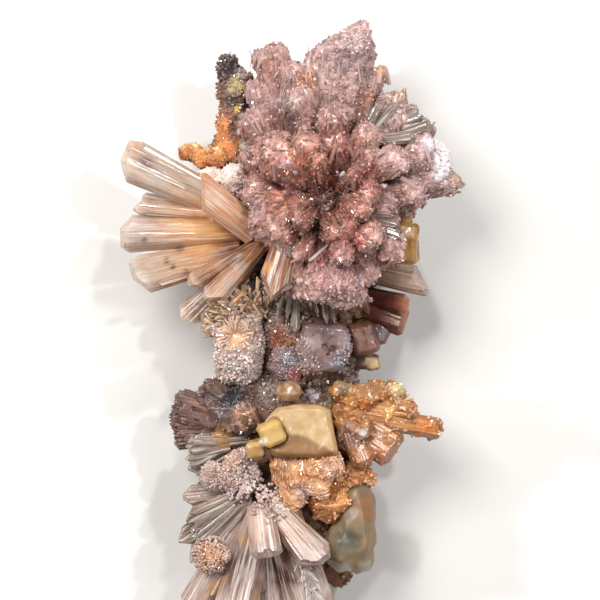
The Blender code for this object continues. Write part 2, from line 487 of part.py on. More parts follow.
def build_specimen():
    """Every piece in the order in which they keep their own shape where two of them meet."""
    rock = matrix_shapes()
    right_blade = [
        Blade((14, 6, 17), (26.0, 3.4, 22), 5.8, 4.0, point=0.7, flat=0.2, drops=(3.6, 0.8), taper=0.9)
    ]
    maroon = [
        Blade((12, 1, 13), (21.6, -1.2, 19), 4.4, 3.4, point=-0.1, flat=0.5, drops=(1.2, 1.2), taper=0.9),
        Blade((11, -1, 13), (21.4, -4.4, 16), 6.4, 4.4, point=0.1, flat=0.7, drops=(0.8, 0.8), taper=0.9),
    ]
    honey = [
        Block((20.6, 9.6, 14.5), (6.2, 4.8, 7.0), (4, -6, 3)),
        Block((20.8, 13.6, 15.5), (5.4, 3.4, 6.0), (-4, 5, -8)),
        Block((20.6, 17.0, 13.5), (3.6, 5.2, 5.0), (3, 4, 6)),
        Block((18.4, 11.0, 14.0), (4.6, 5.4, 6.0), (0, 3, -4)),
    ]
    brown_blocks = [
        Block((12.2, -7.6, 15), (5.6, 6.6, 7.0), (8, 10, 18), 0.8),
        Block((15.8, -6.6, 13), (4.2, 4.6, 6.0), (-6, 8, -24), 0.8),
        Block((11.6, -11.8, 13), (5.4, 4.4, 6.0), (4, -8, 8), 0.8),
        Block((14.6, -12.6, 14), (2.6, 3.0, 3.4), (4, 9, 12), 0.4),
    ]
    mauve = [
        Slab([(0.4, -4.8), (6.8, -5.0), (9.4, -5.4), (10.1, -7.0), (10.1, -9.9), (9.3, -12.0), (7.8, -14.2),
              (1.0, -14.8), (-0.4, -10.0)], 14.5, 22.6, (-0.08, 0.1), 0.8),
        Lump((-1.4, -12.4, 17), (5.0, 4.6, 4.6), seed=91, points=18),
        Block((8.6, -15.6, 17), (9.0, 2.6, 5.0), (6, 3, 2), 0.5),
    ]
    yellow = [
        Slab([(-4.6, -21.4), (-0.4, -20.7), (4.1, -20.9), (6.0, -21.9), (6.5, -25.3), (7.6, -30.4), (4.0, -31.6),
              (-5.4, -31.0), (-7.8, -27.5), (-7.0, -24.1)], 18.0, 26.2, (-0.05, -0.2), 1.0),
    ]
    small_yellow = [
        Block((-5.6, -26.4, 27.2), (4.8, 4.8, 4.2), (12, 8, 26), 0.7),
        Block((-8.8, -29.6, 25.0), (3.6, 3.4, 4.4), (10, -8, 10), 0.6),
    ]
    honey_ball = [Lump((-2.2, -18.2, 22), (3.0, 2.4, 3.0), seed=93, points=20, shake=0.05)]
    green = [
        Lump((11.4, -45.0, 17), (4.4, 10.4, 4.6), seed=95, points=26, shake=0.05),
        Lump((8.6, -49.6, 17), (4.6, 5.4, 4.6), seed=96, points=22, shake=0.05),
        Lump((11.8, -51.6, 16), (3.6, 3.8, 4.2), seed=97, points=18, shake=0.05),
    ]
    amber_crust = [
        Lump((6.6, -40.4, 17), (5.4, 4.6, 5.0), seed=98, points=20),
        Lump((10.6, -36.2, 16), (4.8, 3.8, 5.0), seed=99, points=18),
    ]
    knob, prisms = drusy_knob_shapes(), neck_prism_shapes()
    left, finger, rust, white = (
        left_spray_shapes(), iron_finger_shapes(), limonite_shapes(), white_crust_shapes()
    )
    amber, tuft, dark, lower = (
        amber_cluster_shapes(), orange_tuft_shapes(), dark_mass_shapes(), lower_spray_shapes()
    )
    rosette = rosette_shapes()
    fused_piece("matrix_rock", rock, (0.16, 0.10, 0.08), 0.8)
    fused_piece("small_yellow_cubes", small_yellow, (0.75, 0.52, 0.16), 0.3, rock)
    fused_piece("yellow_fluorite", yellow, (0.68, 0.52, 0.26), 0.35, rock + small_yellow)
    fused_piece("mauve_fluorite", mauve, (0.28, 0.19, 0.20), 0.45, rock)
    fused_piece("honey_fluorite", honey, (0.62, 0.34, 0.12), 0.3, rock)
    fused_piece("brown_fluorite", brown_blocks, (0.24, 0.13, 0.09), 0.35, rock + mauve)
    fused_piece("smoky_blade", right_blade, (0.45, 0.34, 0.28), 0.2, rock + honey)
    fused_piece("maroon_blades", maroon, (0.22, 0.07, 0.05), 0.3, rock + right_blade + brown_blocks)
    fused_piece("honey_ball", honey_ball, (0.50, 0.27, 0.12), 0.3, rock + mauve + yellow)
    fused_piece("left_spray", left, (0.66, 0.44, 0.32), 0.2, rock)
    fused_piece("purple_rosette", rosette, (0.42, 0.22, 0.21), 0.35, rock + left + honey + right_blade + maroon)
    fused_piece("neck_prisms", prisms, (0.55, 0.52, 0.50), 0.1, rock + mauve + rosette)
    fused_piece("drusy_knob", knob, (0.52, 0.42, 0.38), 0.4, rock + left + mauve + prisms)
    fused_piece("iron_finger", finger, (0.34, 0.20, 0.12), 0.7, rock + left + rosette)
    fused_piece("limonite_crust", rust, (0.62, 0.24, 0.06), 0.8, rock + left + finger)
    fused_piece("white_crust", white, (0.80, 0.76, 0.72), 0.9, rock + left + finger + rust + rosette)
    fused_piece("amber_cluster", amber, (0.60, 0.27, 0.07), 0.3, rock + mauve + yellow + brown_blocks)
    fused_piece("orange_tuft", tuft, (0.66, 0.36, 0.20), 0.4, rock + yellow + small_yellow + amber)
    fused_piece("dark_fibrous_mass", dark, (0.13, 0.08, 0.07), 0.5, rock + yellow + small_yellow + knob)
    fused_piece("green_fluorite", green, (0.36, 0.33, 0.24), 0.3, rock + amber)
    fused_piece("amber_crust", amber_crust, (0.50, 0.24, 0.08), 0.6, rock + green + tuft + amber)
    fused_piece(
        "lower_spray", lower, (0.56, 0.46, 0.44), 0.2,
        rock + dark + tuft + green + amber_crust + small_yellow,
    )


for old in list(bpy.data.objects):
    bpy.data.objects.remove(old)
build_specimen()
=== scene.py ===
# %% [markdown]
# # A creedite specimen
# The object is a natural one: creedite, a mineral that grows in fans of flat clear blades, on blocks of
# fluorite and a brown rock. Thousands of small things grow out of a few large ones here, so nearly
# every surface below is worked out with numpy as whole arrays: a blade is an outline carried along a
# line, a rock is a closed skin pushed in and out by noise, and a druse is a scatter of tiny points.
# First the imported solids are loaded. They fix the size and the place of everything that follows.

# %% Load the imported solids
import math

import bmesh
import bpy
import numpy as np
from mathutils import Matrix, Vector


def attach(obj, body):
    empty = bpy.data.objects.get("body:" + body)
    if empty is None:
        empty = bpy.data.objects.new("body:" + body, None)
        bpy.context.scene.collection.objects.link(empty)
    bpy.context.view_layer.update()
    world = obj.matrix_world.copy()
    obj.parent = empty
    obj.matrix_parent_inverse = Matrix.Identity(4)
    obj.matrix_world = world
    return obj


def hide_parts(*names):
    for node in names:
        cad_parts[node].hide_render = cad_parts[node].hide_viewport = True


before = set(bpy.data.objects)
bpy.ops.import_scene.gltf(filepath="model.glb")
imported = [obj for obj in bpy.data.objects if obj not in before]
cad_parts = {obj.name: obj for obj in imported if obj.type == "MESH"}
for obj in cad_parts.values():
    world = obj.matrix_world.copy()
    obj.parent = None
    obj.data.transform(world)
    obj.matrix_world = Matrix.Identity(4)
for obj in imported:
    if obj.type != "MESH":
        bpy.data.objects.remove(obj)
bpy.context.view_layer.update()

# %% [markdown]
# ## The sheet
# The specimen lies on its back and is seen from straight above. Places are given in millimetres on a
# flat sheet: x to the right, y up the picture, and z above the table. Two short functions go from the
# sheet to the frame's metres and back, so that every list of crystals below can be read with a ruler.

# %% From the sheet to metres and back
MM = 0.001
SHEET_ORIGIN = np.array([-1.9, -5.8, 0.0])


def to_metres(points):
    """Sheet millimetres to the frame's metres: the sheet's origin is taken away, then times 0.001."""
    return (np.asarray(points, float) - SHEET_ORIGIN) * MM


def to_sheet(points):
    """Metres to sheet millimetres, the other way round."""
    return np.asarray(points, float) / MM + SHEET_ORIGIN


def srgb(red, green, blue):
    """A colour as a screen shows it, 0 to 255, turned into the linear light that shaders use: the share
    of 255 is raised to the power 2.2."""
    return (np.array([red, green, blue]) / 255.0) ** 2.2


print("the sheet's zero lies at", to_metres([0, 0, 0]), "in the frame")

# %% [markdown]
# ## Noise
# Nature is uneven at every size. Four kinds of noise cover it: soft noise for gentle swells and for
# stains with frayed edges, layered noise for clouds and lumps, bubble noise for sugary grains, and facet
# noise for broken faces. They start from a lattice of repeatable random numbers, so each run gives the
# same specimen.

# %% Four kinds of noise, worked out for all points at once
def lattice(cell, seed):
    """A repeatable number from 0 to 1 for each whole-number cell: its indices times large odd numbers
    are mixed by shifts and products, and divided by the largest 32-bit number."""
    cell = np.asarray(cell).astype(np.int64)
    mixed = cell[..., 0] * 73856093 ^ cell[..., 1] * 19349663 ^ cell[..., 2] * 83492791 ^ seed * 26544357
    mixed = (mixed & 0xFFFFFFFF).astype(np.uint64)
    for shift, factor in ((13, 1274126177), (16, 2246822519), (15, 3266489917)):
        mixed = ((mixed >> np.uint64(shift)) ^ mixed) * np.uint64(factor) & np.uint64(0xFFFFFFFF)
    return mixed / float(0xFFFFFFFF)


def soft_noise(points, size, seed):
    """-1 to 1: the lattice's values at the eight corners round each point, blended by an eased share of
    the way, with cells of the given size in millimetres."""
    scaled = points / size
    cell = np.floor(scaled)
    part = scaled - cell
    ease = part * part * (3 - 2 * part)
    total = np.zeros(len(points))
    for corner in np.ndindex(2, 2, 2):
        share = np.prod(np.where(corner, ease, 1 - ease), axis=1)
        total += share * lattice(cell + corner, seed)
    return 2 * total - 1


def layered_noise(points, size, layers, seed):
    """-1 to 1: soft noise, plus half as much at half the size, and so on for each layer."""
    total = sum(soft_noise(points, size / 2**k, seed + k) / 2**k for k in range(layers))
    return total / (2 - 2.0 ** (1 - layers))


def bubble_noise(points, size, seed):
    """1 at the heart of each grain and 0 between grains: one minus the distance to the nearest of the
    places that are scattered one to a cell."""
    scaled = points / size
    cell = np.floor(scaled)
    nearest = np.full(len(points), 9.0)
    for step in np.ndindex(3, 3, 3):
        near = cell + step - np.array([1, 1, 1])
        place = near + np.stack([lattice(near, seed + k) for k in range(3)], axis=-1)
        nearest = np.minimum(nearest, np.linalg.norm(scaled - place, axis=1))
    return np.clip(1 - nearest, 0, 1)


def facet_noise(points, size, seed):
    """About -1 to 1: broken faces. Each point takes the nearest of the places that are scattered one to
    a cell, and the height there is the point's way from that place along the place's own direction."""
    scaled = points / size
    cell = np.floor(scaled)
    nearest, height = np.full(len(points), 9.0), np.zeros(len(points))
    for step in np.ndindex(3, 3, 3):
        near = cell + step - np.array([1, 1, 1])
        away = scaled - near - np.stack([lattice(near, seed + k) for k in range(3)], axis=-1)
        lean = np.stack([lattice(near, seed + 3 + k) for k in range(3)], axis=-1) * 2 - 1
        closer = np.linalg.norm(away, axis=1) < nearest
        nearest = np.where(closer, np.linalg.norm(away, axis=1), nearest)
        height = np.where(closer, np.einsum("ij,ij->i", away, lean) + lean[:, 2] * 0.4, height)
    return height


print("a soft noise value:", soft_noise(np.array([[1.5, 2.5, 3.5]]), 1.0, 1))

# %% Stains, and the paints made of them
def stain(points, centre, radius, seed=0):
    """0 to 1: a patch round a place on the sheet, seen from above, whose edge is frayed by noise. The
    share is 1.6 times one minus the distance over the radius, shaken and cut to 0 to 1."""
    away = np.linalg.norm(points[:, :2] - np.array(centre[:2]), axis=1) / radius
    return np.clip(1.6 * (1 - away) + 0.5 * soft_noise(points, radius * 0.35, seed), 0, 1)[:, None]


def blend(first, second, share):
    """first where share is 0, second where it is 1."""
    return first * (1 - share) + second * share


def patched(points, tint, patches, seeds, strength=1.0):
    """A tint with stains over it. A patch is x, y and radius in millimetres, then red, green, blue."""
    for (x, y, radius, *shade), seed in zip(patches, seeds):
        tint = blend(tint, srgb(*shade), strength * stain(points, (x, y), radius, seed))
    return tint


def stained(points, ground, clouds, patches=()):
    """The ground colour, then clouds, then patches. A cloud is red, green and blue, then its size in
    millimetres, its strength and its seed."""
    tint = np.broadcast_to(srgb(*ground), (len(points), 3))
    for *shade, size, strength, seed in clouds:
        share = np.clip(0.35 + layered_noise(points, size, 3, seed), 0, 1)[:, None] * strength
        tint = blend(tint, srgb(*shade), share)
    return patched(points, tint, patches, range(50, 50 + len(patches)))


def ramp(value, steps, shades):
    """A tint that runs through the shades as the value runs through the steps."""
    table = np.stack([srgb(*shade) for shade in shades])
    return np.stack([np.interp(value, steps, table[:, k]) for k in range(3)], axis=1)


def paint_of(ground, clouds, patches=()):
    """A paint for a piece: the stained tint as a function of points. What else a piece tells its paint,
    the way that it faces or the share of a blade's length, makes no difference to it."""
    return lambda points, other=None: stained(points, ground, clouds, patches)


test = paint_of((120, 90, 80), (), ((0.0, 0.0, 2.0, 240, 230, 220),))
print("a pale stain on brown gives", np.round(test(np.zeros((1, 3)))[0], 2), "in its middle")

# %% [markdown]
# ## Putting crystals into a mesh
# A mesh of ten thousand crystals is quick to make when their corners and faces are stacked as arrays
# and handed to Blender once. A `Growth` collects them. Each corner carries a colour of its own, the
# attribute "tint", because the stains on the real thing run over many crystals alike.

# %% A growth of many crystals, and how it becomes a piece
class Growth:
    """Corners in sheet millimetres, polygons as rows of corner numbers, and a tint for each corner. The
    comb is where fine lines are read from: it changes quickly across them and slowly along them."""

    def __init__(self):
        self.corners, self.polygons, self.tints, self.combs, self.count = [], [], [], [], 0

    def add(self, corners, polygons, tint, comb=0.0):
        self.corners.append(corners)
        self.polygons += [rows + self.count for rows in polygons]
        self.tints.append(np.broadcast_to(tint, corners.shape))
        self.combs.append(np.broadcast_to(comb, corners.shape))
        self.count += len(corners)


def make_piece(name, growth, material, nodes, smooth=False):
    """A finished piece from a growth: mesh, tint, material, and its place in the frame."""
    corners = to_metres(np.concatenate(growth.corners))
    loops = np.concatenate([rows.ravel() for rows in growth.polygons])
    sizes = np.concatenate([np.full(len(rows), rows.shape[1]) for rows in growth.polygons])
    mesh = bpy.data.meshes.new(name)
    mesh.vertices.add(len(corners))
    mesh.vertices.foreach_set("co", corners.ravel())
    mesh.loops.add(len(loops))
    mesh.loops.foreach_set("vertex_index", loops.astype(np.int32))
    mesh.polygons.add(len(sizes))
    mesh.polygons.foreach_set("loop_start", np.concatenate([[0], np.cumsum(sizes)[:-1]]).astype(np.int32))
    mesh.update(calc_edges=True)
    tint = np.ones((len(corners), 4))
    tint[:, :3] = np.clip(np.concatenate(growth.tints), 0, 1)
    layer = mesh.attributes.new("tint", "FLOAT_COLOR", "POINT")
    layer.data.foreach_set("color", tint.ravel())
    if any(part.any() for part in growth.combs):
        layer = mesh.attributes.new("comb", "FLOAT_VECTOR", "POINT")
        layer.data.foreach_set("vector", np.concatenate(growth.combs).ravel())
    mesh.polygons.foreach_set("use_smooth", np.full(len(sizes), smooth))
    mesh.materials.append(material)
    piece = bpy.data.objects.new(name, mesh)
    bpy.context.scene.collection.objects.link(piece)
    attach(piece, "root")
    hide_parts(*nodes)
    print(name, "has", int((sizes - 2).sum()), "triangles")
    return piece


print("ready to grow")

# %% [markdown]
# ## One function for every blade
# A creedite blade is a flat prism with a chisel end. Its section is a flattened hexagon, finely ridged
# along its length. Carrying that outline from root to tip gives the walls, and drawing it in to a short
# crest gives the end. The same function grows a hero blade with many ridges, or two thousand plain
# needles in one call, because every length below is an array with one entry for each crystal.

# %% The outline of a blade, and its directions
def hexagon():
    """The plain outline: two broad faces up to 0.55 of the half width, and a bevel to each side edge."""
    return np.array([(1, 0), (0.55, 1), (-0.55, 1), (-1, 0), (-0.55, -1), (0.55, -1)], float)


def square():
    """Four corners on their points, for needles too thin to show more."""
    return np.array([(1, 0), (0, 1), (-1, 0), (0, -1)], float)


def ridged_outline(columns):
    """The same hexagon with many corners on its broad faces, which can be raised into ridges."""
    across = np.sin(np.linspace(math.pi / 2, -math.pi / 2, columns + 2))
    height = np.clip((1 - np.abs(across)) / 0.45, 0, 1)
    upper = np.stack([across, height], axis=1)
    return np.concatenate([upper[:-1], -upper[:-1]])


def directions(root, tip, roll):
    """The three unit directions of each blade: along is root to tip, across is along times up, turned
    by roll, and through is across times along."""
    along = tip - root
    length = np.linalg.norm(along, axis=1, keepdims=True)
    along = along / length
    across = np.cross(along, [0.0, 0.0, 1.0])
    steep = np.linalg.norm(across, axis=1) < 0.05
    across[steep] = (1.0, 0.0, 0.0)
    across = across / np.linalg.norm(across, axis=1, keepdims=True)
    other = np.cross(along, across)
    turn = np.radians(roll)[:, None]
    across = across * np.cos(turn) + other * np.sin(turn)
    through = np.cross(across, along)
    through = through / np.linalg.norm(through, axis=1, keepdims=True)
    return along, across, through, length[:, 0]


print("a ridged outline of 7 columns has", len(ridged_outline(7)), "corners")

# %% The blade as a surface of two parameters
def end_height(a, b, length, deep, point, flat, low, high):
    """How far along the blade its end lies over the spot (a, b) of the section: the length, less the
    side drop times the share of the way from the crest to the side edge, less 0.35 of the depth at b."""
    reach = np.where(a > point, 1 - point - flat, 1 + point - flat)
    share = np.clip((np.abs(a - point) - flat) / np.maximum(reach, 0.05), 0, 1)
    return length - np.where(a > point, high, low) * share - 0.35 * deep * np.abs(b)


def column(value, count):
    """One number, or one for each crystal, as a column of that many rows."""
    return np.broadcast_to(np.asarray(value, float), (count,))[:, None]


def grow_blades(root, tip, width, thick, roll=0.0, point=0.0, flat=0.25, low=1.0, high=1.0, taper=0.6,
                outline=None, stations=(0.0, 1.0), caps=(0.03,), ridges=0.0, steps=0.0, seed=0):
    """Blades as a surface of two parameters: the spot on the outline, and the share of the length. A
    wall corner lies at root + along times share times end height + across times a times the half width +
    through times b times the half depth, which both grow from taper to 1. The caps draw the outline
    in to the crest. Ridges shake b, and steps shorten whole groups of columns, as parallel crystals do.
    Gives the corners, the polygons, and each corner's share of the length."""
    root, tip = np.atleast_2d(root).astype(float), np.atleast_2d(tip).astype(float)
    count = len(root)
    outline = hexagon() if outline is None else outline
    sides = len(outline)
    along, across, through, length = directions(root, tip, np.broadcast_to(roll, (count,)).astype(float))
    wide, deep = column(width, count) / 2, column(thick, count) / 2
    point, flat, taper = column(point, count), column(flat, count), column(taper, count)
    low, high, length = column(low, count), column(high, count), length[:, None]
    a = np.repeat(outline[None, :, 0], count, axis=0)
    b = np.repeat(outline[None, :, 1], count, axis=0)
    pick = np.random.default_rng(seed)
    number = np.arange(count)[:, None]
    if ridges:
        b = b * (1 - ridges * pick.random(b.shape))
    shorter = 0.0
    if steps:
        group = np.floor((a + 1) * 2.3 + pick.random((count, 1)) * 3) + 7 * (b > 0)
        cells = np.stack([group, number + 0 * group, 0 * group], axis=-1)
        shorter = steps * lattice(cells, seed) ** 2
    rings, shares = [], []
    for share in stations:
        end = end_height(a, b, length, deep, point, flat, low, high) - shorter
        size = taper + (1 - taper) * share
        rings.append((a * size * wide, b * size * deep, share * end))
        shares.append(np.full(a.shape, share))
    crest = np.clip(a, point - flat, point + flat)
    for draw in caps:
        a_in, b_in = crest + (a - crest) * draw, b * draw
        end = end_height(a_in, b_in, length, deep, point, flat, low, high) - shorter * draw
        rings.append((a_in * wide, b_in * deep, end))
        shares.append(np.ones(a.shape))
    x, y, z = (np.stack(part, axis=1)[..., None] for part in zip(*rings))
    base = root[:, None, None, :]
    corners = base + across[:, None, None] * x + through[:, None, None] * y + along[:, None, None] * z
    return corners.reshape(-1, 3), tube_polygons(count, len(rings), sides), np.stack(shares, 1).ravel()


def tube_polygons(count, rings, sides):
    """Faces of closed tubes: a quad from each outline corner to the next and to the ring above, and one
    many-sided face at each end."""
    start = np.arange(count)[:, None, None] * rings * sides
    ring = np.arange(rings - 1)[None, :, None] * sides
    here = np.arange(sides)[None, None, :]
    after = (here + 1) % sides
    low_left, low_right = start + ring + here, start + ring + after
    quads = np.stack([low_left, low_left + sides, low_right + sides, low_right], axis=-1).reshape(-1, 4)
    foot = (start + here).reshape(count, sides)
    head = (start + (rings - 1) * sides + here).reshape(count, sides)[:, ::-1]
    return [quads, foot, head]


def outward(corners, polygons):
    """The polygons, turned over if the volume that they enclose comes out negative."""
    quads = polygons[0]
    p, q, r = (corners[quads[:, k]] for k in (0, 1, 2))
    s = corners[quads[:, 3]]
    centre = corners.mean(axis=0)
    volume = np.einsum("ij,ij->i", p - centre, np.cross(q - centre, r - centre)).sum()
    volume += np.einsum("ij,ij->i", p - centre, np.cross(r - centre, s - centre)).sum()
    return polygons if volume > 0 else [rows[:, ::-1] for rows in polygons]


test = grow_blades([[0, 0, 0]], [[0, 9, 0]], 3, 2)
print("one plain blade has", len(test[0]), "corners")

# %% [markdown]
# ## Grains and sheaves
# Two more growers are needed. A sheaf fills the form of one large blade with thin needles, which is
# what the dark plates are made of. A druse is a scatter of tiny stout crystals over a surface, which
# glitters because each one has a few flat faces.

# %% Sheaves of needles, and druse
GRAIN_CORNERS = 11


def sheaf(root, tip, width, thick, count, seed, thin=0.9, roll=0.0, point=0.0, flat=0.3, low=1.0,
          high=1.0, taper=0.5, start=0.1, short=0.18):
    """Roots, tips and widths of needles that fill one blade: each starts at a spot (a, b) of the root's
    outline and ends at the same spot under the blade's end, up to the share short below it."""
    pick = np.random.default_rng(seed)
    root, tip = np.array([root], float), np.array([tip], float)
    along, across, through, length = directions(root, tip, np.array([float(roll)]))
    a = pick.uniform(-0.9, 0.9, count)[:, None]
    b = pick.uniform(-0.85, 0.85, count)[:, None] * np.clip((1 - np.abs(a)) / 0.45, 0.15, 1)
    end = end_height(a, b, length[0], thick / 2, point, flat, low, high)
    end = end * (1 - short * pick.random((count, 1)) ** 2)
    spread_a, spread_b = a * width / 2, b * thick / 2
    foot = root + along * length[0] * start + across * spread_a * taper + through * spread_b * taper
    head = root + along * end + across * spread_a + through * spread_b
    return foot, head, thin * pick.uniform(0.55, 1.25, count)


def grow_grains(places, facing, size, seed, slender=1.3):
    """Tiny five-sided crystals: a ring under the surface, a wider ring at half the height, and a point.
    Each faces along the surface's direction, shaken a little."""
    pick = np.random.default_rng(seed)
    count, sides = len(places), 5
    facing = facing + pick.normal(0, 0.35, facing.shape)
    facing = facing / np.linalg.norm(facing, axis=1, keepdims=True)
    size = np.broadcast_to(size, (count,))[:, None]
    spin = pick.uniform(0, 2 * math.pi, (count, 1))
    side = np.cross(facing, pick.normal(0, 1, facing.shape))
    side = side / np.linalg.norm(side, axis=1, keepdims=True)
    other = np.cross(facing, side)
    angle = spin + np.arange(sides)[None, :] * 2 * math.pi / sides
    ring = side[:, None] * np.cos(angle)[..., None] + other[:, None] * np.sin(angle)[..., None]
    tall = size * slender * pick.uniform(0.7, 1.3, (count, 1))
    foot = places[:, None] + ring * (size * 0.42)[..., None] - (facing * tall * 0.35)[:, None]
    waist = places[:, None] + ring * (size * 0.5)[..., None] + (facing * tall * 0.3)[:, None]
    top = (places + facing * tall * 0.65)[:, None]
    corners = np.concatenate([foot, waist, top], axis=1).reshape(-1, 3)
    start = np.arange(count)[:, None] * GRAIN_CORNERS
    here = np.arange(sides)[None, :]
    after = (here + 1) % sides
    quads = np.stack([start + here, start + after, start + 5 + after, start + 5 + here], -1).reshape(-1, 4)
    tips = np.stack([start + 5 + here, start + 5 + after, start + 10 + 0 * here], -1).reshape(-1, 3)
    feet = (start + here)[:, ::-1]
    return corners, [quads, tips, feet]


def grain_tint(tint, seed, shade):
    """One tint for each grain, spread over its eleven corners, lighter or darker by up to shade."""
    pick = np.random.default_rng(seed)
    light = 1 + shade * pick.uniform(-1, 1, (len(tint), 1))
    return np.repeat(tint * light, GRAIN_CORNERS, axis=0)


def add_needles(growth, foot, head, thin, paint, seed, shade=0.25, foot_light=0.5):
    """Four-sided needles from feet to heads. Each is lighter or darker than the next by up to shade, and
    all are darker at the foot, where light would not reach: the paint times foot_light there."""
    pick = np.random.default_rng(seed)
    count = len(foot)
    corners, polygons, share = grow_blades(foot, head, thin, thin * pick.uniform(0.5, 0.9, count),
                                           roll=pick.uniform(-180, 180, count),
                                           point=pick.uniform(-0.6, 0.6, count), low=thin * 0.9,
                                           high=thin * 0.9, taper=0.75, outline=square())
    each = np.repeat(1 + shade * pick.uniform(-1, 1, (count, 1)), len(corners) // count, axis=0)
    light = each * (foot_light + (1 - foot_light) * share[:, None])
    growth.add(corners, outward(corners, polygons), paint(corners, None) * light)


print("ready to scatter")

# %% [markdown]
# ## Rock, crusts and cleaved blocks
# A rough or waxy body is not a prism, so it starts as a closed skin over its solid: the solid's loose
# triangles are merged, the Remesh modifier makes an even net of small squares, and a few rounds of
# smoothing take the hard edges off. Then numpy pushes each corner along its own normal.

# %% A closed skin over a solid, ready to be pushed by noise
def skin_over(node, voxel, rounds):
    """Corners in sheet millimetres, their normals, and the quads of an even closed skin over a node."""
    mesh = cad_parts[node].data.copy()
    shape = bmesh.new()
    shape.from_mesh(mesh)
    bmesh.ops.remove_doubles(shape, verts=shape.verts[:], dist=1e-7)
    shape.to_mesh(mesh)
    shape.free()
    helper = bpy.data.objects.new("helper", mesh)
    bpy.context.scene.collection.objects.link(helper)
    net = helper.modifiers.new("net", "REMESH")
    net.mode, net.voxel_size, net.adaptivity = "VOXEL", voxel * MM, 0.0
    ease = helper.modifiers.new("ease", "SMOOTH")
    ease.iterations, ease.factor = rounds, 0.5
    graph = bpy.context.evaluated_depsgraph_get()
    done = bpy.data.meshes.new_from_object(helper.evaluated_get(graph))
    corners = np.empty(len(done.vertices) * 3)
    done.vertices.foreach_get("co", corners)
    normals = np.empty(len(done.vertices) * 3)
    done.vertex_normals.foreach_get("vector", normals)
    quads = np.empty(len(done.polygons) * 4, np.int32)
    done.polygons.foreach_get("vertices", quads)
    bpy.data.objects.remove(helper)
    bpy.data.meshes.remove(done)
    return to_sheet(corners.reshape(-1, 3)), normals.reshape(-1, 3), quads.reshape(-1, 4)


def scatter_on(corners, quads, count, seed, weight=None):
    """Random places on a skin and the directions that it faces there. A quad is picked with a chance
    that follows its area times its weight, and the place is a random blend of its four corners."""
    pick = np.random.default_rng(seed)
    a, b, c, d = (corners[quads[:, k]] for k in range(4))
    cross = np.cross(c - a, d - b)
    area = np.linalg.norm(cross, axis=1)
    chance = area if weight is None else area * weight[quads].mean(axis=1)
    chosen = pick.choice(len(quads), count, p=chance / chance.sum())
    mix = pick.dirichlet([1, 1, 1, 1], count)
    places = sum(mix[:, k : k + 1] * corners[quads[chosen, k]] for k in range(4))
    return places, cross[chosen] / np.maximum(area[chosen, None], 1e-9)


print("the skins come from", len(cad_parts), "solids")

# %% [markdown]
# ## Finishes
# Every finish is a Principled shader fed by the tint that the corners carry. What they share is a fine
# uneven grain, so that no face is one flat colour, and it is a node group of its own: the tint goes
# in, and a colour with light and dark grain and a few specks comes out, with a height for the Bump. A
# second group draws the fine lines along blades, which stand for their many parallel crystals.

# %% Helpers for shader nodes
# A Mix node keeps sockets for numbers, vectors and colours. These are the ones that it uses for colours.
FACTOR_INPUT, A_INPUT, B_INPUT, MIX_OUTPUT = 0, 6, 7, 2


def add_node(tree, kind, inputs=(), **settings):
    """A new node of a kind. Each named input is joined to the socket given for it, or set to the value."""
    node = tree.nodes.new("ShaderNode" + kind)
    for name, value in settings.items():
        setattr(node, name, value)
    for name, value in dict(inputs).items():
        if isinstance(value, bpy.types.NodeSocket):
            tree.links.new(value, node.inputs[name])
        else:
            node.inputs[name].default_value = value
    return node


def new_group(name, sockets):
    """An empty node group with the given sockets coming in, and a colour and a height going out: the
    group, what its input node gives, and its output node."""
    group = bpy.data.node_groups.new(name, "ShaderNodeTree")
    for socket, kind in sockets:
        group.interface.new_socket(socket, in_out="INPUT", socket_type="NodeSocket" + kind)
    group.interface.new_socket("Colour", in_out="OUTPUT", socket_type="NodeSocketColor")
    group.interface.new_socket("Height", in_out="OUTPUT", socket_type="NodeSocketFloat")
    return group, group.nodes.new("NodeGroupInput").outputs, group.nodes.new("NodeGroupOutput")


def swing_by(group, noise, strength, colour):
    """The noise less a half, and the colour times one plus the strength times that."""
    centred = add_node(group, "Math", {0: noise, 1: 0.5}, operation="SUBTRACT").outputs[0]
    swing = add_node(group, "Math", {0: centred, 1: strength, 2: 1.0}, operation="MULTIPLY_ADD")
    shaded = add_node(group, "VectorMath", {0: colour, "Scale": swing.outputs[0]}, operation="SCALE")
    return centred, shaded.outputs[0]


def mixed_out(group, end, share, first, second, height):
    """Ends a group: first drawn towards second by the share comes out as the colour, with the height."""
    mix = add_node(group, "Mix", data_type="RGBA")
    for place, value in ((FACTOR_INPUT, share), (A_INPUT, first), (B_INPUT, second)):
        if isinstance(value, bpy.types.NodeSocket):
            group.links.new(value, mix.inputs[place])
        else:
            mix.inputs[place].default_value = value
    group.links.new(mix.outputs[MIX_OUTPUT], end.inputs["Colour"])
    group.links.new(height, end.inputs["Height"])
    return group


print("nodes can be joined")

# %% The grain and the combed lines that the finishes share
def mineral_grain():
    """Colour times one plus the grain's strength times noise, then specks where a second noise is high."""
    group, given, end = new_group("mineral grain", (
        ("Colour", "Color"), ("Size", "Float"), ("Strength", "Float"), ("Speck Colour", "Color"),
        ("Speck Amount", "Float")))
    place = add_node(group, "TexCoord").outputs["Object"]
    fine = add_node(group, "TexNoise", {"Vector": place, "Scale": given["Size"], "Detail": 3.0})
    fine = fine.outputs["Fac"]
    shaded = swing_by(group, fine, given["Strength"], given["Colour"])[1]
    finer = add_node(group, "Math", {0: given["Size"], 1: 1.7}, operation="MULTIPLY").outputs[0]
    spots = add_node(group, "TexNoise", {"Vector": place, "Scale": finer, "Detail": 1.0}).outputs["Fac"]
    sharp = add_node(group, "MapRange", {"Value": spots, "From Min": 0.60, "From Max": 0.66}).outputs[0]
    share = add_node(group, "Math", {0: sharp, 1: given["Speck Amount"]}, operation="MULTIPLY").outputs[0]
    return mixed_out(group, end, share, shaded, given["Speck Colour"], fine)


